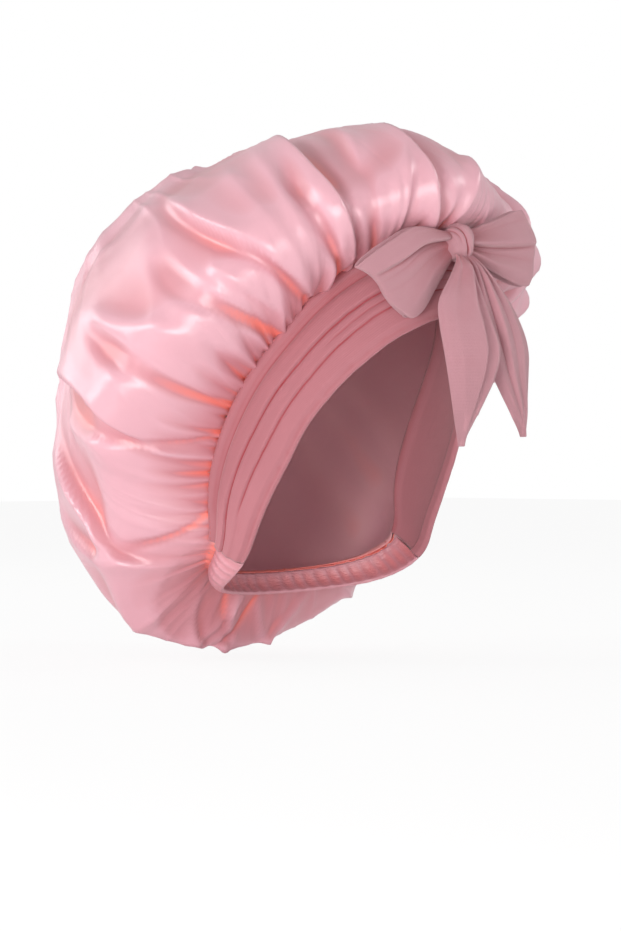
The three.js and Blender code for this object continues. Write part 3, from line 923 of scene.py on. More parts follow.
def new_material(name):
    material = bpy.data.materials.new(name)
    material.use_nodes = True
    material.node_tree.nodes.clear()
    nodes = Nodes(material.node_tree)
    output = nodes.add("ShaderNodeOutputMaterial")
    shader = nodes.add("ShaderNodeBsdfPrincipled")
    material.node_tree.links.new(shader.outputs[0], output.inputs[0])
    return material, nodes, shader


def wrinkles_group():
    """Height of fine wrinkles that run from a gathered edge and fade away from it."""
    name = "gathered_wrinkles"
    if name in bpy.data.node_groups:
        return bpy.data.node_groups[name]
    group, nodes, given, result = new_group(
        name,
        [
            ("Around", "NodeSocketFloat", 60.0),
            ("Up", "NodeSocketFloat", 4.0),
            ("Reach", "NodeSocketFloat", 0.5),
            ("Threads", "NodeSocketFloat", 0.0),
            ("Threads Share", "NodeSocketFloat", 0.05),
        ],
        [("Height", "NodeSocketFloat")],
    )
    place = nodes.add("ShaderNodeTexCoord").outputs["UV"]
    split = nodes.add("ShaderNodeSeparateXYZ", {"Vector": place})
    turns = nodes.math("MULTIPLY", split.outputs["X"], TURN)
    ring_x = nodes.math("MULTIPLY", nodes.math("COSINE", turns), given.outputs["Around"])
    ring_y = nodes.math("MULTIPLY", nodes.math("SINE", turns), given.outputs["Around"])
    rise = nodes.math("MULTIPLY", split.outputs["Y"], given.outputs["Up"])
    ring = nodes.add("ShaderNodeCombineXYZ", {"X": ring_x, "Y": ring_y, "Z": rise}).outputs[0]
    grain = nodes.add(
        "ShaderNodeTexNoise", {"Vector": ring, "Scale": 1.0, "Detail": 2.0, "Distortion": 0.4}
    ).outputs["Fac"]
    near = nodes.math("DIVIDE", split.outputs["Y"], given.outputs["Reach"], clamp=True)
    near = nodes.math("SUBTRACT", 1.0, near)
    near = nodes.math("POWER", near, 2.0)
    wrinkle = nodes.math("MULTIPLY", grain, near)
    threads = nodes.math("MULTIPLY", given.outputs["Threads"], given.outputs["Threads Share"])
    group.links.new(nodes.math("ADD", wrinkle, threads), result.inputs["Height"])
    return group


def cloth_material(name, plain, crest, hollow, threads, wrinkles, amounts, **sockets):
    """A folded cloth: its colours, its threads and wrinkles, and its shader's own values."""
    material, nodes, shader = new_material(name)
    folded = nodes.add("ShaderNodeGroup", node_tree=folded_cloth_group())
    folded.inputs["Plain"].default_value = plain
    folded.inputs["Painted Highlight"].default_value = crest
    folded.inputs["Painted Hollow"].default_value = hollow
    for socket, value in amounts.items():
        folded.inputs[socket].default_value = value
    along, across, share, depth = threads
    weave = nodes.add("ShaderNodeGroup", node_tree=threads_group())
    weave.inputs["Along Count"].default_value = along
    weave.inputs["Across Count"].default_value = across
    weave.inputs["Across Share"].default_value = share
    around, up, reach, wrinkle_depth = wrinkles
    gathered = nodes.add("ShaderNodeGroup", node_tree=wrinkles_group())
    gathered.inputs["Around"].default_value = around
    gathered.inputs["Up"].default_value = up
    gathered.inputs["Reach"].default_value = reach
    gathered.inputs["Threads Share"].default_value = depth / wrinkle_depth
    links = material.node_tree.links
    links.new(weave.outputs["Height"], gathered.inputs["Threads"])
    bump = nodes.add("ShaderNodeBump", {"Height": gathered.outputs["Height"], "Strength": 1.0})
    bump.inputs["Distance"].default_value = wrinkle_depth
    links.new(folded.outputs["Color"], shader.inputs["Base Color"])
    links.new(bump.outputs["Normal"], shader.inputs["Normal"])
    for socket, value in sockets.items():
        shader.inputs[socket.replace("_", " ")].default_value = value
    return material


def satin_material(name, colours, plain, threads, wrinkles):
    # Painted highlight on the crests and painted glow in the hollows
    return cloth_material(
        name, plain, colours.satin_painted_highlight, colours.satin_painted_glow, threads, wrinkles,
        {"Crest Amount": 1.3, "Hollow Amount": 1.15, "Mottle Scale": 30.0, "Mottle": 0.25},
        Roughness=0.3, Sheen_Weight=0.08, Sheen_Roughness=0.4, Anisotropic=0.5,
        Specular_IOR_Level=1.0,
    )


def knit_material(name, colours, plain, threads):
    # Painted shade in the creases; the crests keep the plain colour
    return cloth_material(
        name, plain, plain, colours.knit_painted_shade, threads, KNIT_WRINKLES,
        {"Crest Amount": 0.3, "Hollow Amount": 1.0, "Mottle Scale": 90.0, "Mottle": 0.2},
        Roughness=0.75, Sheen_Weight=0.3, Sheen_Roughness=0.5, Specular_IOR_Level=0.3,
    )


def plain_material(name, colour, roughness):
    material, nodes, shader = new_material(name)
    place = nodes.add("ShaderNodeTexCoord").outputs["Object"]
    grain = nodes.add("ShaderNodeTexNoise", {"Vector": place, "Scale": 1500.0}).outputs["Fac"]
    shade = nodes.mix(grain, colour, tuple(0.7 * part for part in colour[:3]) + (1.0,))
    material.node_tree.links.new(shade, shader.inputs["Base Color"])
    shader.inputs["Roughness"].default_value = roughness
    return material


class BONNET_OT_stage(bpy.types.Operator):
    """Sets the floor, the lamps, the world and the camera"""

    bl_idname = "bonnet.stage"
    bl_label = "Stage"

    CAMERA_AZIMUTH = math.radians(-43)
    CAMERA_DISTANCE = 1.6
    METRES_PER_PIXEL = 0.00062
    IMAGE_WIDTH = 621
    IMAGE_HEIGHT = 931
    ORIGIN_COLUMN = 347.1
    ORIGIN_ROW = 453.7
    FLOOR_DROP = 0.0005
    FLOOR_SIZE = 12.0
    FLOOR_SHADE = 0.93
    FLOOR_WHITE_SHARE = 0.9
    FILL = 0.54
    MIDDLE = (0, 0.05, 0.05)
    LOW = (0, 0.05, -0.12)
    INSIDE = (0, 0.05, -0.1)

    # Lamps: name, place, aim, size, power and colour
    LAMPS = [
        ["left_lamp", (-1.5, 1.15, 0.6), MIDDLE, 0.5, 10.0, (1, 0.98, 0.99)],
        ["right_lamp", (1.2, -1.0, 1.1), MIDDLE, 0.6, 8.5, (1, 0.98, 0.98)],
        ["low_lamp", (-1.1, -0.6, -0.06), LOW, 0.4, 8.5, (1, 0.95, 0.94)],
        ["inner_lamp", (-0.7, -1.0, -0.05), INSIDE, 0.4, 1.8, (1, 0.95, 0.95)],
        ["rim_lamp", (-0.3, 1.7, 0.5), MIDDLE, 0.8, 5.0, (1, 0.97, 0.99)],
    ]

    def add_camera(self, context):
        """Puts the camera where the photograph was taken from."""
        azimuth = self.CAMERA_AZIMUTH
        right = Vector((math.cos(azimuth), math.sin(azimuth), 0))
        back = Vector((math.sin(azimuth), -math.cos(azimuth), 0))
        up = Vector((0, 0, 1))
        aside = (self.IMAGE_WIDTH / 2 - self.ORIGIN_COLUMN) * self.METRES_PER_PIXEL
        lift = (self.ORIGIN_ROW - self.IMAGE_HEIGHT / 2) * self.METRES_PER_PIXEL
        place = right * aside + up * lift + back * self.CAMERA_DISTANCE
        bpy.ops.object.camera_add(location=place)
        camera = context.active_object
        camera.name = "camera"
        camera.rotation_euler = Matrix((right, up, back)).transposed().to_euler()
        long_side = self.IMAGE_HEIGHT * self.METRES_PER_PIXEL
        camera.data.lens = camera.data.sensor_width * self.CAMERA_DISTANCE / long_side
        context.scene.camera = camera

    def add_lamp(self, name, place, aim, size, power, colour):
        """Adds a soft square lamp that looks at a place."""
        bpy.ops.object.light_add(type="AREA", location=place)
        lamp = bpy.context.active_object
        lamp.name = name
        lamp.rotation_euler = (Vector(place) - Vector(aim)).to_track_quat("Z", "Y").to_euler()
        lamp.data.size = size
        lamp.data.energy = power
        lamp.data.color = colour

    def add_floor(self):
        """Adds a pale floor that looks nearly white to the camera and keeps the shadow."""
        lowest = min(cad_bounds[0].z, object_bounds()[0].z) - self.FLOOR_DROP
        deselect_all()
        bpy.ops.mesh.primitive_plane_add(size=self.FLOOR_SIZE, location=(0, 0, lowest))
        floor = bpy.context.active_object
        floor.name = "floor"
        material, nodes, shader = new_material("floor_white")
        shader.inputs["Base Color"].default_value = (*[self.FLOOR_SHADE] * 3, 1)
        shader.inputs["Roughness"].default_value = 0.9
        path = nodes.add("ShaderNodeLightPath")
        glow = nodes.add("ShaderNodeEmission", {"Strength": 1.0})
        share = nodes.math("MULTIPLY", path.outputs["Is Camera Ray"], self.FLOOR_WHITE_SHARE)
        mix = nodes.add("ShaderNodeMixShader", {0: share, 1: shader.outputs[0], 2: glow.outputs[0]})
        output = next(n for n in material.node_tree.nodes if n.type == "OUTPUT_MATERIAL")
        material.node_tree.links.new(mix.outputs[0], output.inputs[0])
        floor.data.materials.append(material)
        floor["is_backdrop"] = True

    def add_world(self, context):
        """Lights the scene evenly, and shows white to the camera."""
        world = bpy.data.worlds.new("studio")
        world.use_nodes = True
        context.scene.world = world
        world.node_tree.nodes.clear()
        nodes = Nodes(world.node_tree)
        path = nodes.add("ShaderNodeLightPath")
        seen = nodes.math("MAXIMUM", path.outputs["Is Camera Ray"], path.outputs["Is Transmission Ray"])
        fill = nodes.add("ShaderNodeBackground", {"Color": (1, 0.97, 0.97, 1), "Strength": self.FILL})
        white = nodes.add("ShaderNodeBackground", {"Color": (1, 1, 1, 1), "Strength": 1.0})
        mix = nodes.add("ShaderNodeMixShader", {0: seen, 1: fill.outputs[0], 2: white.outputs[0]})
        output = nodes.add("ShaderNodeOutputWorld")
        world.node_tree.links.new(mix.outputs[0], output.inputs[0])

    def execute(self, context):
        context.scene.view_settings.view_transform = "Standard"
        self.add_world(context)
        self.add_floor()
        for lamp in self.LAMPS:
            self.add_lamp(*lamp)
        self.add_camera(context)
        return {"FINISHED"}


class BONNET_OT_crown(bpy.types.Operator):
    """Builds the gathered satin crown and the lining inside it"""

    bl_idname = "bonnet.crown"
    bl_label = "Crown"

    COLUMNS = 740
    ROWS = 66
    ROW_CROWDING = 1.5
    LINING_COLUMNS = 288
    LINING_ROWS = 48
    TOP = 0.999
    LAST_SQUARE = 0.985
    FOLDS_END = 0.93
    HOLLOW_ROUNDS = 60
    HOLLOW_DEPTH = 0.005
    # Share of the painted glow that goes into the satin's colour mask
    PAINTED_GLOW_SHARE = 0.9
    LINING_HOLLOW_ROUNDS = 20
    LINING_HOLLOW_DEPTH = 0.009
    LEAST_HEIGHT = -0.0022
    LINING_DROP = 0.0034
    LINING_EDGE_SHARE = 0.3
    LINING_FOLDS = 26
    LINING_FOLD_DEPTH = 0.0022
    NAPE_HEM = 0.003
    NAPE_HEM_SHARES = [0.117, 0.126]
    NAPE_HEM_RISE = 0.012

    def execute(self, context):
        shape = shape_of(context)
        folds = context.scene.bonnet_folds
        sizes = context.scene.bonnet_sizes
        colours = context.scene.bonnet_colours

        def pace_at(u, v):
            ends = shape.crown(u + shape.STEP, v) - shape.crown(u - shape.STEP, v)
            return np.linalg.norm(ends, axis=-1) / (2 * shape.STEP)

        def heights(u, v):
            tall, painted_glow_and_shade = crown_height(folds, u, v, pace_at(u, v), shape.crown(u, v))
            low = self.LEAST_HEIGHT
            return low + np.logaddexp(0, (tall - low) / MILLIMETRE) * MILLIMETRE, painted_glow_and_shade

        def to_casing(u, v):
            """How far the satin's lower edge reaches down to the casing behind the neck."""
            nape = 1 - smooth_step(np.abs(wrapped(u - NAPE_SHARE)), *self.NAPE_HEM_SHARES)
            reach = self.NAPE_HEM * nape * (1 - smooth_step(v, 0, self.NAPE_HEM_RISE))
            return shape.lean(u) * reach[:, None]

        def bare(u, v):
            """The crown without its folds, and its square direction there."""
            top = np.where(v > self.TOP, 0, u)
            square = normals_of(shape.crown, u, np.clip(v, 0, self.LAST_SQUARE))
            return shape.crown(top, v) + to_casing(u, v), square

        def outer(u, row):
            v = row**self.ROW_CROWDING
            place, square = bare(u, v)
            fade = 1 - smooth_step(v, self.FOLDS_END, self.LAST_SQUARE)
            return place + square * (heights(u, v)[0] * fade)[:, None]

        def inner(u, v):
            place, square = bare(u, v)
            wave = 0.5 - 0.5 * np.cos(TURN * self.LINING_FOLDS * u + np.sin(5 * TURN * u))
            depth = self.LINING_FOLD_DEPTH * wave * (1 - smooth_step(v, 0.4, 1))
            depth *= smooth_step(v, 0, 0.08)
            edge = self.LINING_EDGE_SHARE
            drop = self.LINING_DROP * (edge + (1 - edge) * smooth_step(v, 0, 0.05))
            return place - square * (drop + depth)[:, None]

        crown = cloth_grid("crown_satin", self.COLUMNS, self.ROWS, outer, closes=True)
        face_outwards(crown)
        shares = corner_shares(crown)
        # Painted glow and shade for the satin: its hollows, with the extra glow of slits, sunken folds
        # and the seam
        painted_glow_and_shade = heights(shares[:, 0], shares[:, 1] ** self.ROW_CROWDING)[1]
        mark_hollows(crown, self.HOLLOW_ROUNDS, self.HOLLOW_DEPTH, self.PAINTED_GLOW_SHARE * painted_glow_and_shade)
        apply_modifier(crown, "SOLIDIFY", thickness=sizes.satin_wall, offset=-1)
        satin = satin_material(
            "satin_outer", colours, colours.satin, SATIN_THREADS, SATIN_WRINKLES
        )
        settle(crown, "bonnet", "crown_satin", satin, "crown_outer")

        lining = cloth_grid(
            "crown_lining_satin", self.LINING_COLUMNS, self.LINING_ROWS, inner, closes=True
        )
        face_outwards(lining)
        mark_hollows(lining, self.LINING_HOLLOW_ROUNDS, self.LINING_HOLLOW_DEPTH)
        apply_modifier(lining, "SOLIDIFY", thickness=sizes.satin_wall, offset=-1)
        satin = satin_material(
            "satin_lining", colours, colours.lining, SATIN_THREADS, SATIN_WRINKLES
        )
        settle(lining, "bonnet", "lining_satin", satin, "crown_lining")
        return {"FINISHED"}


class BONNET_OT_band(bpy.types.Operator):
    """Builds the pleated knit band and its facing"""

    bl_idname = "bonnet.band"
    bl_label = "Band"

    COLUMNS = 320
    ROWS = 114
    HEM_START = 0.86
    HEM_END = 0.95
    HEM_REACH = 0.005
    HEM_SLACK = 0.0003
    SEAM_TUCK = 0.0004
    LEAST_PLEAT_SHARE = 0.04
    CREASE_DRIFT = 0.008
    CREASE_DRIFT_TURNS = 2.3
    LEAST_LIFT = 0.0005
    FACING_GAP = 0.0006
    FACING_PAST = 0.05
    FACING_STEP = 0.0016
    FACING_COLUMNS = 200
    FACING_ROWS = 24
    HOLLOW_ROUNDS = 8
    HOLLOW_DEPTH = 0.0007
    FACING_HOLLOW_ROUNDS = 6
    FACING_HOLLOW_DEPTH = 0.0009

    def execute(self, context):
        shape = shape_of(context)
        sizes = context.scene.bonnet_sizes
        colours = context.scene.bonnet_colours

        def pleat_height(u, across):
            """Height of the pleats: a roll by the seam, a gutter, then three flat folds."""
            tall = on_table(PLEAT_HEIGHT_SHARES, across)
            for place, width, depth, ending in CREASES:
                turns = self.CREASE_DRIFT_TURNS * u + place
                drift = place + self.CREASE_DRIFT * np.sin(TURN * turns)
                past = across - drift
                side = np.where(past > 0, 3 * width, width)
                fade = 1 - smooth_step(np.abs(2 * u - 1), ending, ending + 0.1)
                tall = tall - depth * fade * np.exp(-np.abs(past / side) ** 1.3)
            return sizes.pleat_rise * np.maximum(tall, self.LEAST_PLEAT_SHARE)

        def middle(share, across):
            """The surface between the band and its facing."""
            return shape.band(share, across, self.SEAM_TUCK)

        hem_radius = 1.5 * sizes.knit_wall + self.HEM_SLACK

        def outer(u, v):
            """The band: flat, then round the edge of its facing and a little way back."""
            share = BAND_END_SHARE * (2 * u - 1)
            flat = 1 - hem_radius / shape.width(share)
            across = flat * np.minimum(v / self.HEM_START, 1)
            square = normals_of(middle, share, across)
            tall = sizes.knit_wall + self.LEAST_LIFT + pleat_height(u, across)
            near = smooth_step(across, flat - 0.1, flat)
            tall += (hem_radius - self.FACING_GAP - tall) * near
            angle = math.pi * np.clip((v - self.HEM_START) / (self.HEM_END - self.HEM_START), 0, 1)
            back = self.HEM_REACH * np.maximum(v - self.HEM_END, 0) / (1 - self.HEM_END)
            ahead = hem_radius * np.sin(angle) - back
            lift = tall - hem_radius * (1 - np.cos(angle))
            return middle(share, across) + shape.lean(share) * ahead[:, None] - square * lift[:, None]

        band = cloth_grid("band_knit", self.COLUMNS, self.ROWS, outer)
        face_outwards(band)
        # Marks the band's creases for painted shade
        mark_hollows(band, self.HOLLOW_ROUNDS, self.HOLLOW_DEPTH)
        apply_modifier(band, "SOLIDIFY", thickness=sizes.knit_wall, offset=-1)
        knit = knit_material("knit_band", colours, colours.knit, BAND_THREADS)
        settle(band, "bonnet", "band_jersey", knit, "pleated_band")

        def facing(u, v):
            share = BAND_END_SHARE * (2 * u - 1)
            flat = 1 - (hem_radius + self.HEM_SLACK) / shape.width(share)
            across = v * (flat + self.FACING_PAST) - self.FACING_PAST
            place = middle(share, across)
            square = normals_of(middle, share, v)
            over = self.FACING_STEP * (1 - smooth_step(across, 0, 2 * self.FACING_PAST))
            return place + square * (self.FACING_GAP + over)[:, None]

        inside = cloth_grid("band_facing_knit", self.FACING_COLUMNS, self.FACING_ROWS, facing)
        face_outwards(inside)
        mark_hollows(inside, self.FACING_HOLLOW_ROUNDS, self.FACING_HOLLOW_DEPTH)
        apply_modifier(inside, "SOLIDIFY", thickness=sizes.knit_wall, offset=0)
        knit = knit_material("knit_facing", colours, colours.knit, FACING_THREADS)
        settle(inside, "bonnet", "facing_jersey", knit, "band_facing")
        return {"FINISHED"}


class BONNET_OT_casing(bpy.types.Operator):
    """Builds the gathered casing behind the neck and the elastic inside it"""

    bl_idname = "bonnet.casing"
    bl_label = "Casing"

    INSET = 0.0036
    START_GAP = 0.0006
    SQUARENESS = 0.6
    AROUND = 48
    ALONG = 360
    GATHERS = 27
    GATHER_SHARE = 0.3
    RIBS = 9
    RIB_SHARE = 0.16
    TAPE_COLUMNS = 120
    ROWS_OF_A_RIB = 4
    HOLLOW_ROUNDS = 6
    HOLLOW_DEPTH = 0.0008

    def execute(self, context):
        shape = shape_of(context)
        sizes = context.scene.bonnet_sizes
        colours = context.scene.bonnet_colours
        start = BAND_END_SHARE + self.START_GAP / float(shape.pace(np.array(BAND_END_SHARE)))
        half_thickness = sizes.casing_bore / 2 + sizes.casing_wall

        def inset_band(share, across):
            return shape.band(share, across, self.INSET)

        def place(v, across):
            return inset_band(start + (1 - 2 * start) * v, across)

        def place_from_across(across, v):
            return place(v, across)

        def tube(u, v):
            angle = TURN * u
            across = 0.5 - 0.5 * np.cos(angle)
            bow = np.sign(np.sin(angle)) * np.abs(np.sin(angle)) ** self.SQUARENESS
            wander = 0.9 * np.sin(TURN * 3 * v) + 0.5 * np.sin(TURN * 7 * v + 2)
            wave = 0.5 - 0.5 * np.cos(TURN * self.GATHERS * v + wander + 0.5 * np.sin(angle))
            gather = 1 - self.GATHER_SHARE * wave**0.7 * np.abs(np.sin(angle)) ** 0.3
            square = normals_of(place_from_across, across, v)
            lift = -half_thickness * bow * gather
            return place(v, across) + square * lift[:, None]

        casing = cloth_grid("casing_satin", self.AROUND, self.ALONG, tube, closes=True)
        face_outwards(casing)
        mark_hollows(casing, self.HOLLOW_ROUNDS, self.HOLLOW_DEPTH)
        apply_modifier(casing, "SOLIDIFY", thickness=sizes.casing_wall, offset=-1)
        satin = satin_material(
            "satin_casing", colours, colours.satin, CASING_THREADS, CASING_WRINKLES
        )
        settle(casing, "bonnet", "casing_satin", satin, "nape_casing")

        def tape(u, v):
            share = start + (1 - 2 * start) * u
            half = sizes.elastic_width / 2 / shape.width(share)
            across = 0.5 + (2 * v - 1) * half
            point = inset_band(share, across)
            square = normals_of(inset_band, share, across)
            rib = sizes.elastic_thickness * self.RIB_SHARE * np.abs(np.sin(math.pi * self.RIBS * v))
            return point + square * rib[:, None]

        rows = self.RIBS * self.ROWS_OF_A_RIB
        elastic = cloth_grid("elastic_tape", self.TAPE_COLUMNS, rows, tape)
        face_outwards(elastic)
        wall = sizes.elastic_thickness * (1 - 2 * self.RIB_SHARE)
        apply_modifier(elastic, "SOLIDIFY", thickness=wall, offset=0)
        woven = plain_material("elastic_tape", colours.elastic, 0.7)
        settle(elastic, "bonnet", "elastic", woven, "nape_elastic")
        return {"FINISHED"}


def tie_folds(rows, across, v):
    """Height of a tie's lengthwise folds, in metres."""
    height = np.zeros_like(v)
    for at_knot, at_end, rise, below, above, fade in rows:
        distance = across - (at_knot + (at_end - at_knot) * v)
        along = 1 - fade * smooth_step(v, 0.35, 1)
        height += rise * MILLIMETRE * petal_profile(distance, below, above, 1.3) * along
    return height


def left_at_edges(across):
    """Share of a tie's folds that is left towards its edges."""
    return np.minimum(1, TIE_EDGE_PACE * (1 - np.abs(across)) + TIE_EDGE_SHARE)


def edge_place(edges, u, v):
    """Share of a strip's width that a place lies from its middle line."""
    low, high = (on_table(side, v) for side in edges)
    return -low + (low + high) * u


class BONNET_OT_bow(bpy.types.Operator):
    """Builds the knot, the tie ends on the band, the loops and the tails"""

    bl_idname = "bonnet.bow"
    bl_label = "Bow"

    SEAM_INSET = 0.0016
    BAND_FRONT = 0.0032
    LAYER_GAP = 0.0005
    ROOT_LENGTH = 0.030
    ROOT_WIDTH = 0.015
    ROOT_WALL = 0.0011
    ROOT_START = 0.1
    ROOT_TAPER = 0.6
    KNOT_SEGMENTS = 96
    KNOT_RINGS = 64
    KNOT_HOLLOW_ROUNDS = 12
    KNOT_HOLLOW_DEPTH = 0.0006
    STRIP_COLUMNS = 56
    STRIP_ROWS = 110
    STRIP_HOLLOW_ROUNDS = 10
    STRIP_HOLLOW_DEPTH = 0.0008
    ROOT_COLUMNS = 12
    ROOT_ROWS = 24
    LOOP_AREA_SHARE = 0.9
    TAIL_AREA_SHARE = 0.75
    LEFT_TAIL_TWIST = math.radians(6)
    RIGHT_TAIL_TWIST = math.radians(20)
    LOOP_GATHER = 0.0009
    TAIL_GATHER = 0.0008
    ROOT_GATHER = 0.0005
    LOOP_ROOT_GAPE = 0.0024
    LOOP_ARCH = 0.003
    TAIL_START = 0.0034
    TAIL_FAN = 0.6
    TAIL_TWIST = 0.6
    TAIL_ARCHED = 0.4
    TAIL_BOW = 0.006
    TAIL_ARCH = 0.004
    TAIL_SEAT = (0, -0.4, -0.7)

    # Lengthwise folds of each strip: place across it at the knot and at its end, height in
    # millimetres, width below and above as shares of its half width, and how much of it fades
    RIGHT_LOOP_FOLDS = [
        [0.36, 0.62, 5.2, 0.05, 0.5, 1.0],
        [0.1, 0.3, -1.6, 0.12, 0.2, 0.8],
        [-0.5, -0.8, 1.2, 0.3, 0.2, 0.4],
        [-0.25, 0.0, -1.6, 0.35, 0.3, 0.3],
    ]
    LEFT_LOOP_FOLDS = [
        [-0.02, -0.2, 4.2, 0.5, 0.05, 0.7],
        [0.6, 0.75, 1.8, 0.2, 0.3, 0.4],
        [0.3, 0.3, -1.8, 0.2, 0.25, 0.5],
        [-0.7, -0.75, -1.2, 0.2, 0.2, 0.5],
    ]
    RIGHT_TAIL_FOLDS = [
        [0.3, 0.05, 6.6, 0.6, 0.05, 0.95],
        [-0.6, -0.5, 1.4, 0.3, 0.4, 0.3],
        [0.9, 0.7, 2.4, 0.16, 0.3, 0.5],
    ]
    LEFT_TAIL_FOLDS = [
        [-0.3, -0.1, 3.6, 0.05, 0.5, 0.8],
        [0.55, 0.5, 2.0, 0.3, 0.2, 0.3],
        [0.2, 0.25, -2.0, 0.25, 0.2, 0.4],
        [-0.75, -0.6, 2.0, 0.12, 0.3, 0.5],
    ]

    # Grooves between the knot's wraps: place and width over the slant, and depth
    KNOT_WRAPS = [[-0.22, 0.09, 0.0017], [0.5, 0.08, 0.001], [-0.7, 0.07, 0.0006]]
    KNOT_RIPPLE = 0.0002
    KNOT_SQUARENESS = 0.85
    KNOT_SWELL = 0.0012
    # Painted shade laid on the strips near the knot: how much, and how fast it fades away from it
    KNOT_PAINTED_SHADE = 1.2
    KNOT_SHADE_REACH = 0.014
    LEFT_LOOP_ROUNDING_SHARES = [0.16, 0.03]
    RIGHT_LOOP_ROUNDING_SHARES = [0.14, -0.15]

    def knot_point(self, sphere):
        """Moves the corners of a unit ball out to the knot's form."""
        ties = bpy.context.scene.bonnet_ties
        halves = np.array([ties.knot_half_width, ties.knot_half_depth, ties.knot_half_height])
        x, z = sphere[:, 0], sphere[:, 2]
        slant = x + 0.45 * z - 0.1 * np.cos(2 * z)
        wraps = self.KNOT_RIPPLE * np.cos(21 * slant + 3 * z)
        for place, width, depth in self.KNOT_WRAPS:
            wraps += depth * np.exp(-(((slant - place) / width) ** 2))
        square = np.sign(sphere) * np.abs(sphere) ** self.KNOT_SQUARENESS
        return square * halves + sphere * (self.KNOT_SWELL - wraps)[:, None] + self.centre

    def add_knot(self, knit):
        """Shapes a ball into the wrapped knot."""
        deselect_all()
        bpy.ops.mesh.primitive_uv_sphere_add(
            segments=self.KNOT_SEGMENTS, ring_count=self.KNOT_RINGS, radius=1
        )
        knot = bpy.context.active_object
        knot.name = knot.data.name = "knot_knit"
        set_corners(knot, self.knot_point(corners_of(knot)))
        bpy.ops.object.shade_smooth()
        # Marks the knot's grooves for painted shade
        mark_hollows(knot, self.KNOT_HOLLOW_ROUNDS, self.KNOT_HOLLOW_DEPTH)
        settle(knot, "bonnet", "tie_jersey", knit, "bow_knot")

    def add_strip(self, name, body, node, columns, rows, surface, wall, knit, flat, area):
        """Adds a strip of doubled knit with softly rounded edges."""
        strip = cloth_grid(name, columns, rows, surface)
        face_outwards(strip)
        apply_modifier(strip, "SOLIDIFY", thickness=wall, offset=0)
        apply_modifier(strip, "SUBSURF", levels=1, render_levels=1)
        make_active(strip)
        bpy.ops.object.shade_smooth()
        corners = corners_of(strip) - self.centre
        away = np.linalg.norm(corners, axis=1)
        # Painted shade that deepens towards the knot
        painted_glow_and_shade = self.KNOT_PAINTED_SHADE * np.exp(-away / self.KNOT_SHADE_REACH)
        mark_hollows(strip, self.STRIP_HOLLOW_ROUNDS, self.STRIP_HOLLOW_DEPTH, painted_glow_and_shade)
        settle(strip, body, "tie_jersey", knit, node)

    def loop_surface(self, reach, width, gape, edges, rounded, folds):
        """A loop: out from the knot as its front layer and back as its rear one."""
        reach = np.array(reach)
        length = np.linalg.norm(reach)
        along = reach / length
        forward = unit(np.array([0, -1, 0]) + along * along[1])
        side = unit(np.cross(along, forward))

        def surface(u, v):
            out = 1 - np.abs(2 * v - 1)
            swing = np.sin(TURN / 4 * out)
            across = 2 * u - 1
            mouth = self.LOOP_ROOT_GAPE + (gape - self.LOOP_ROOT_GAPE) * smooth_step(out, 0, 0.5)
            open_share = np.sign(0.5 - v) * mouth / 2 * np.sqrt(1 - out**4)
            arch = self.LOOP_ARCH * swing * across**2
            gathers = self.LOOP_GATHER * np.cos(9 * across + 1) * np.exp(-out / 0.2)
            lift = tie_folds(folds, across, out) * smooth_step(out, 0, 0.12) + gathers
            lift *= left_at_edges(across)
            rounding = np.where(across < 0, *rounded) * across**2
            far = length * swing * (1 - rounding * smooth_step(out, 0.3, 1))
            wide = width * edge_place(edges, u, out)
            point = self.centre + along * far[:, None] + side * wide[:, None]
            return point + forward * (open_share - arch + lift)[:, None]
        return surface

    def tail_surface(self, reach, width, twist, edges, folds):
        """A tail: from below the knot down to its tip."""
        ties = bpy.context.scene.bonnet_ties
        halves = np.array([ties.knot_half_width, ties.knot_half_depth, ties.knot_half_height])
        seat = self.centre + halves * np.array(self.TAIL_SEAT)

        def surface(u, v):
            across = 2 * u - 1
            wide = width * edge_place(edges, u, v)
            angle = twist * smooth_step(v, 0, self.TAIL_TWIST)
            forward = self.TAIL_BOW * np.sin(math.pi * np.sqrt(v))
            fan = np.sin(TURN / 4 * np.minimum(v / self.TAIL_FAN, 1))
            start = math.copysign(self.TAIL_START, reach[0])
            arch = self.TAIL_ARCH * across**2 * smooth_step(v, 0, self.TAIL_ARCHED)
            gathers = self.TAIL_GATHER * np.cos(8 * across) * np.exp(-v / 0.12)
            lift = tie_folds(folds, across, v) * smooth_step(v, 0, 0.08) * np.minimum(1, 5 * (1 - v))
            lift *= left_at_edges(across)
            point = np.empty(u.shape + (3,))
            point[:, 0] = start + (reach[0] - start) * fan + wide * np.cos(angle)
            point[:, 1] = reach[1] * v - forward - wide * np.sin(angle) + arch
            point[:, 1] -= lift + gathers
            point[:, 2] = reach[2] * v
            return point + seat
        return surface

    def root_surface(self, shape, side):
        """A tie end that lies on the band and narrows into the knot."""
        sizes = bpy.context.scene.bonnet_sizes
        ties = bpy.context.scene.bonnet_ties
        reach = self.ROOT_LENGTH / float(shape.pace(np.array(0.0)))

        def place(u, v):
            share = side * (self.ROOT_START + (1 - self.ROOT_START) * v) * reach
            half = self.ROOT_WIDTH * (u - 0.5) * (self.ROOT_TAPER + (1 - self.ROOT_TAPER) * v)
            drop = ties.knot_drop + (self.ROOT_WIDTH / 2 + self.SEAM_INSET - ties.knot_drop) * v
            return shape.band(share, (drop + half) / sizes.band_width, self.SEAM_INSET)

        def surface(u, v):
            rest = self.BAND_FRONT + self.LAYER_GAP + self.ROOT_WALL / 2
            gathers = self.ROOT_GATHER * np.cos(14 * u) * (1 - smooth_step(v, 0.3, 1))
            square = normals_of(place, u, v) * side
            return place(u, v) + square * (rest + gathers)[:, None]
        return surface

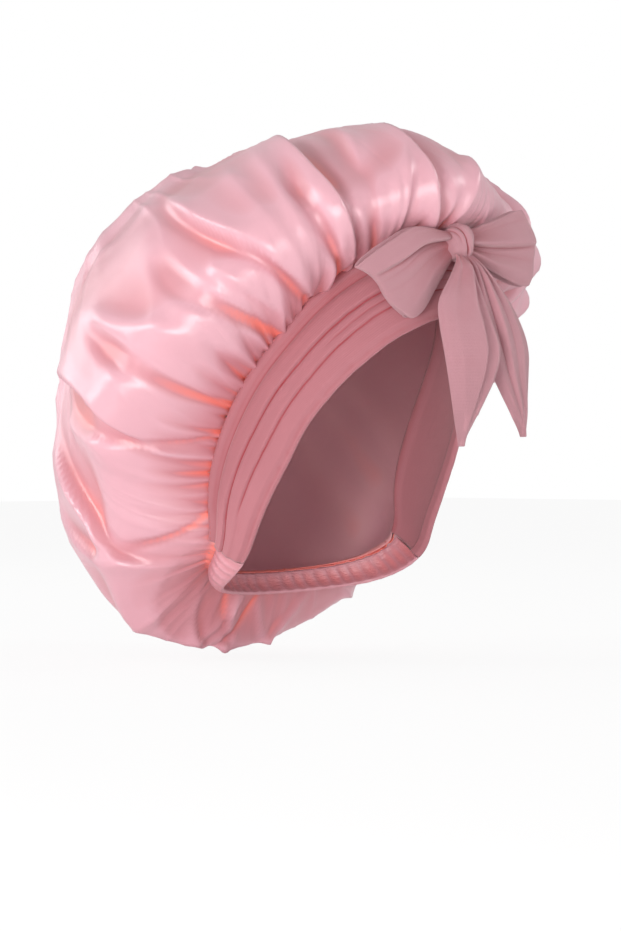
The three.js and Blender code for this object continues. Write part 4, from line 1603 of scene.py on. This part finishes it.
    def execute(self, context):
        shape = shape_of(context)
        ties = context.scene.bonnet_ties
        colours = context.scene.bonnet_colours
        low, high = (np.array(corner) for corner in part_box("bow_knot"))
        self.centre = (low + high) / 2
        knit = knit_material("knit_ties", colours, colours.tie, TIE_THREADS)
        self.add_knot(knit)
        for side, name in ((1, "left"), (-1, "right")):
            self.add_strip(
                f"tie_end_{name}", "bonnet", f"tie_root_{name}", self.ROOT_COLUMNS, self.ROOT_ROWS,
                self.root_surface(shape, side), self.ROOT_WALL, knit, (0.015, 0.028), None,
            )
        for name, reach, width, edges, rounded, folds in (
            ("left", ties.left_loop_reach, ties.left_loop_width, LEFT_LOOP_EDGE_SHARES,
             self.LEFT_LOOP_ROUNDING_SHARES, self.LEFT_LOOP_FOLDS),
            ("right", ties.right_loop_reach, ties.right_loop_width, RIGHT_LOOP_EDGE_SHARES,
             self.RIGHT_LOOP_ROUNDING_SHARES, self.RIGHT_LOOP_FOLDS),
        ):
            surface = self.loop_surface(reach, width, ties.loop_gape, edges, rounded, folds)
            length = 2 * np.linalg.norm(np.array(reach)) + ties.loop_gape
            self.add_strip(
                f"loop_{name}_knit", f"loop_{name}", f"bow_loop_{name}", self.STRIP_COLUMNS,
                self.STRIP_ROWS, surface, ties.tie_wall, knit, (width, length),
                self.LOOP_AREA_SHARE * width * length,
            )
        for name, reach, width, twist, edges, folds in (
            ("left", ties.left_tail_reach, ties.left_tail_width, self.LEFT_TAIL_TWIST,
             LEFT_TAIL_EDGE_SHARES, self.LEFT_TAIL_FOLDS),
            ("right", ties.right_tail_reach, ties.right_tail_width, self.RIGHT_TAIL_TWIST,
             RIGHT_TAIL_EDGE_SHARES, self.RIGHT_TAIL_FOLDS),
        ):
            surface = self.tail_surface(np.array(reach), width, twist, edges, folds)
            length = np.linalg.norm(np.array(reach))
            self.add_strip(
                f"tail_{name}_knit", f"tail_{name}", f"bow_tail_{name}", self.STRIP_COLUMNS,
                self.STRIP_ROWS, surface, ties.tie_wall, knit, (width, length),
                self.TAIL_AREA_SHARE * width * length,
            )
        return {"FINISHED"}


class BONNET_OT_stitches(bpy.types.Operator):
    """Sews the row of stitches along the gathered seam"""

    bl_idname = "bonnet.stitches"
    bl_label = "Stitches"

    LENGTH = 0.0026
    PITCH = 0.0036
    THICKNESS = 0.0009
    LIFT = 0.0056
    DROP = 0.0018
    POINTS = 240
    SEGMENTS = 8
    RINGS = 6

    def seam_line(self, shape):
        """Places along the band's seam, just over its knit."""
        u = np.linspace(-BAND_END_SHARE, BAND_END_SHARE, self.POINTS)
        lean = shape.lean(u)
        square = unit(np.cross(lean, shape.along(u)))
        return shape.seam(u) + square * self.LIFT + lean * self.DROP

    def add_guide(self, context, points):
        """Adds a line that the row of stitches is bent along."""
        line = bpy.data.curves.new("seam_guide", "CURVE")
        line.dimensions = "3D"
        spline = line.splines.new("POLY")
        spline.points.add(len(points) - 1)
        spline.points.foreach_set("co", np.append(points, np.ones((len(points), 1)), axis=1).ravel())
        guide = bpy.data.objects.new("seam_guide", line)
        context.scene.collection.objects.link(guide)
        return guide

    def execute(self, context):
        points = self.seam_line(shape_of(context))
        length = np.sum(np.linalg.norm(np.diff(points, axis=0), axis=1))
        deselect_all()
        bpy.ops.mesh.primitive_uv_sphere_add(
            segments=self.SEGMENTS, ring_count=self.RINGS, radius=0.5
        )
        stitch = bpy.context.active_object
        stitch.name = stitch.data.name = "seam_stitches"
        place = np.roll(corners_of(stitch), 1, axis=1)
        place *= np.array([self.LENGTH, self.THICKNESS, self.THICKNESS])
        place[:, 0] += self.PITCH / 2
        set_corners(stitch, place)
        bpy.ops.object.shade_smooth()
        guide = self.add_guide(context, points)
        apply_modifier(
            stitch, "ARRAY", use_relative_offset=False, use_constant_offset=True,
            constant_offset_displace=(self.PITCH, 0, 0), count=int(length / self.PITCH),
        )
        apply_modifier(stitch, "CURVE", object=guide, deform_axis="POS_X")
        bpy.data.objects.remove(guide)
        thread = plain_material("sewing_thread", context.scene.bonnet_colours.thread, 0.5)
        settle(stitch, "bonnet", "band_jersey", thread)
        return {"FINISHED"}


class VIEW3D_PT_bonnet(bpy.types.Panel):
    """Lists the bonnet's sizes, colours and steps"""

    bl_idname = "VIEW3D_PT_bonnet"
    bl_label = "Bonnet"
    bl_space_type = "VIEW_3D"
    bl_region_type = "UI"
    bl_category = "Bonnet"

    def draw(self, context):
        for group in (
            context.scene.bonnet_sizes, context.scene.bonnet_folds,
            context.scene.bonnet_ties, context.scene.bonnet_colours,
        ):
            box = self.layout.box()
            for name in group.__annotations__:
                box.prop(group, name)
        for step in STEPS:
            self.layout.operator(step.bl_idname)


STEPS = [
    BONNET_OT_crown, BONNET_OT_band, BONNET_OT_casing, BONNET_OT_bow, BONNET_OT_stitches,
    BONNET_OT_stage,
]
GROUPS = {
    "bonnet_sizes": BonnetSizes,
    "bonnet_folds": BonnetFolds,
    "bonnet_ties": TieSizes,
    "bonnet_colours": BonnetColours,
}


def register():
    for group in GROUPS.values():
        bpy.utils.register_class(group)
    for name, group in GROUPS.items():
        setattr(bpy.types.Scene, name, bpy.props.PointerProperty(type=group))
    for step in [*STEPS, VIEW3D_PT_bonnet]:
        bpy.utils.register_class(step)


def unregister():
    for step in [VIEW3D_PT_bonnet, *reversed(STEPS)]:
        bpy.utils.unregister_class(step)
    for name, group in GROUPS.items():
        delattr(bpy.types.Scene, name)
        bpy.utils.unregister_class(group)


def main():
    register()
    for step in STEPS:
        area, action = step.bl_idname.split(".")
        getattr(getattr(bpy.ops, area), action)()


if __name__ == "__main__":
    main()
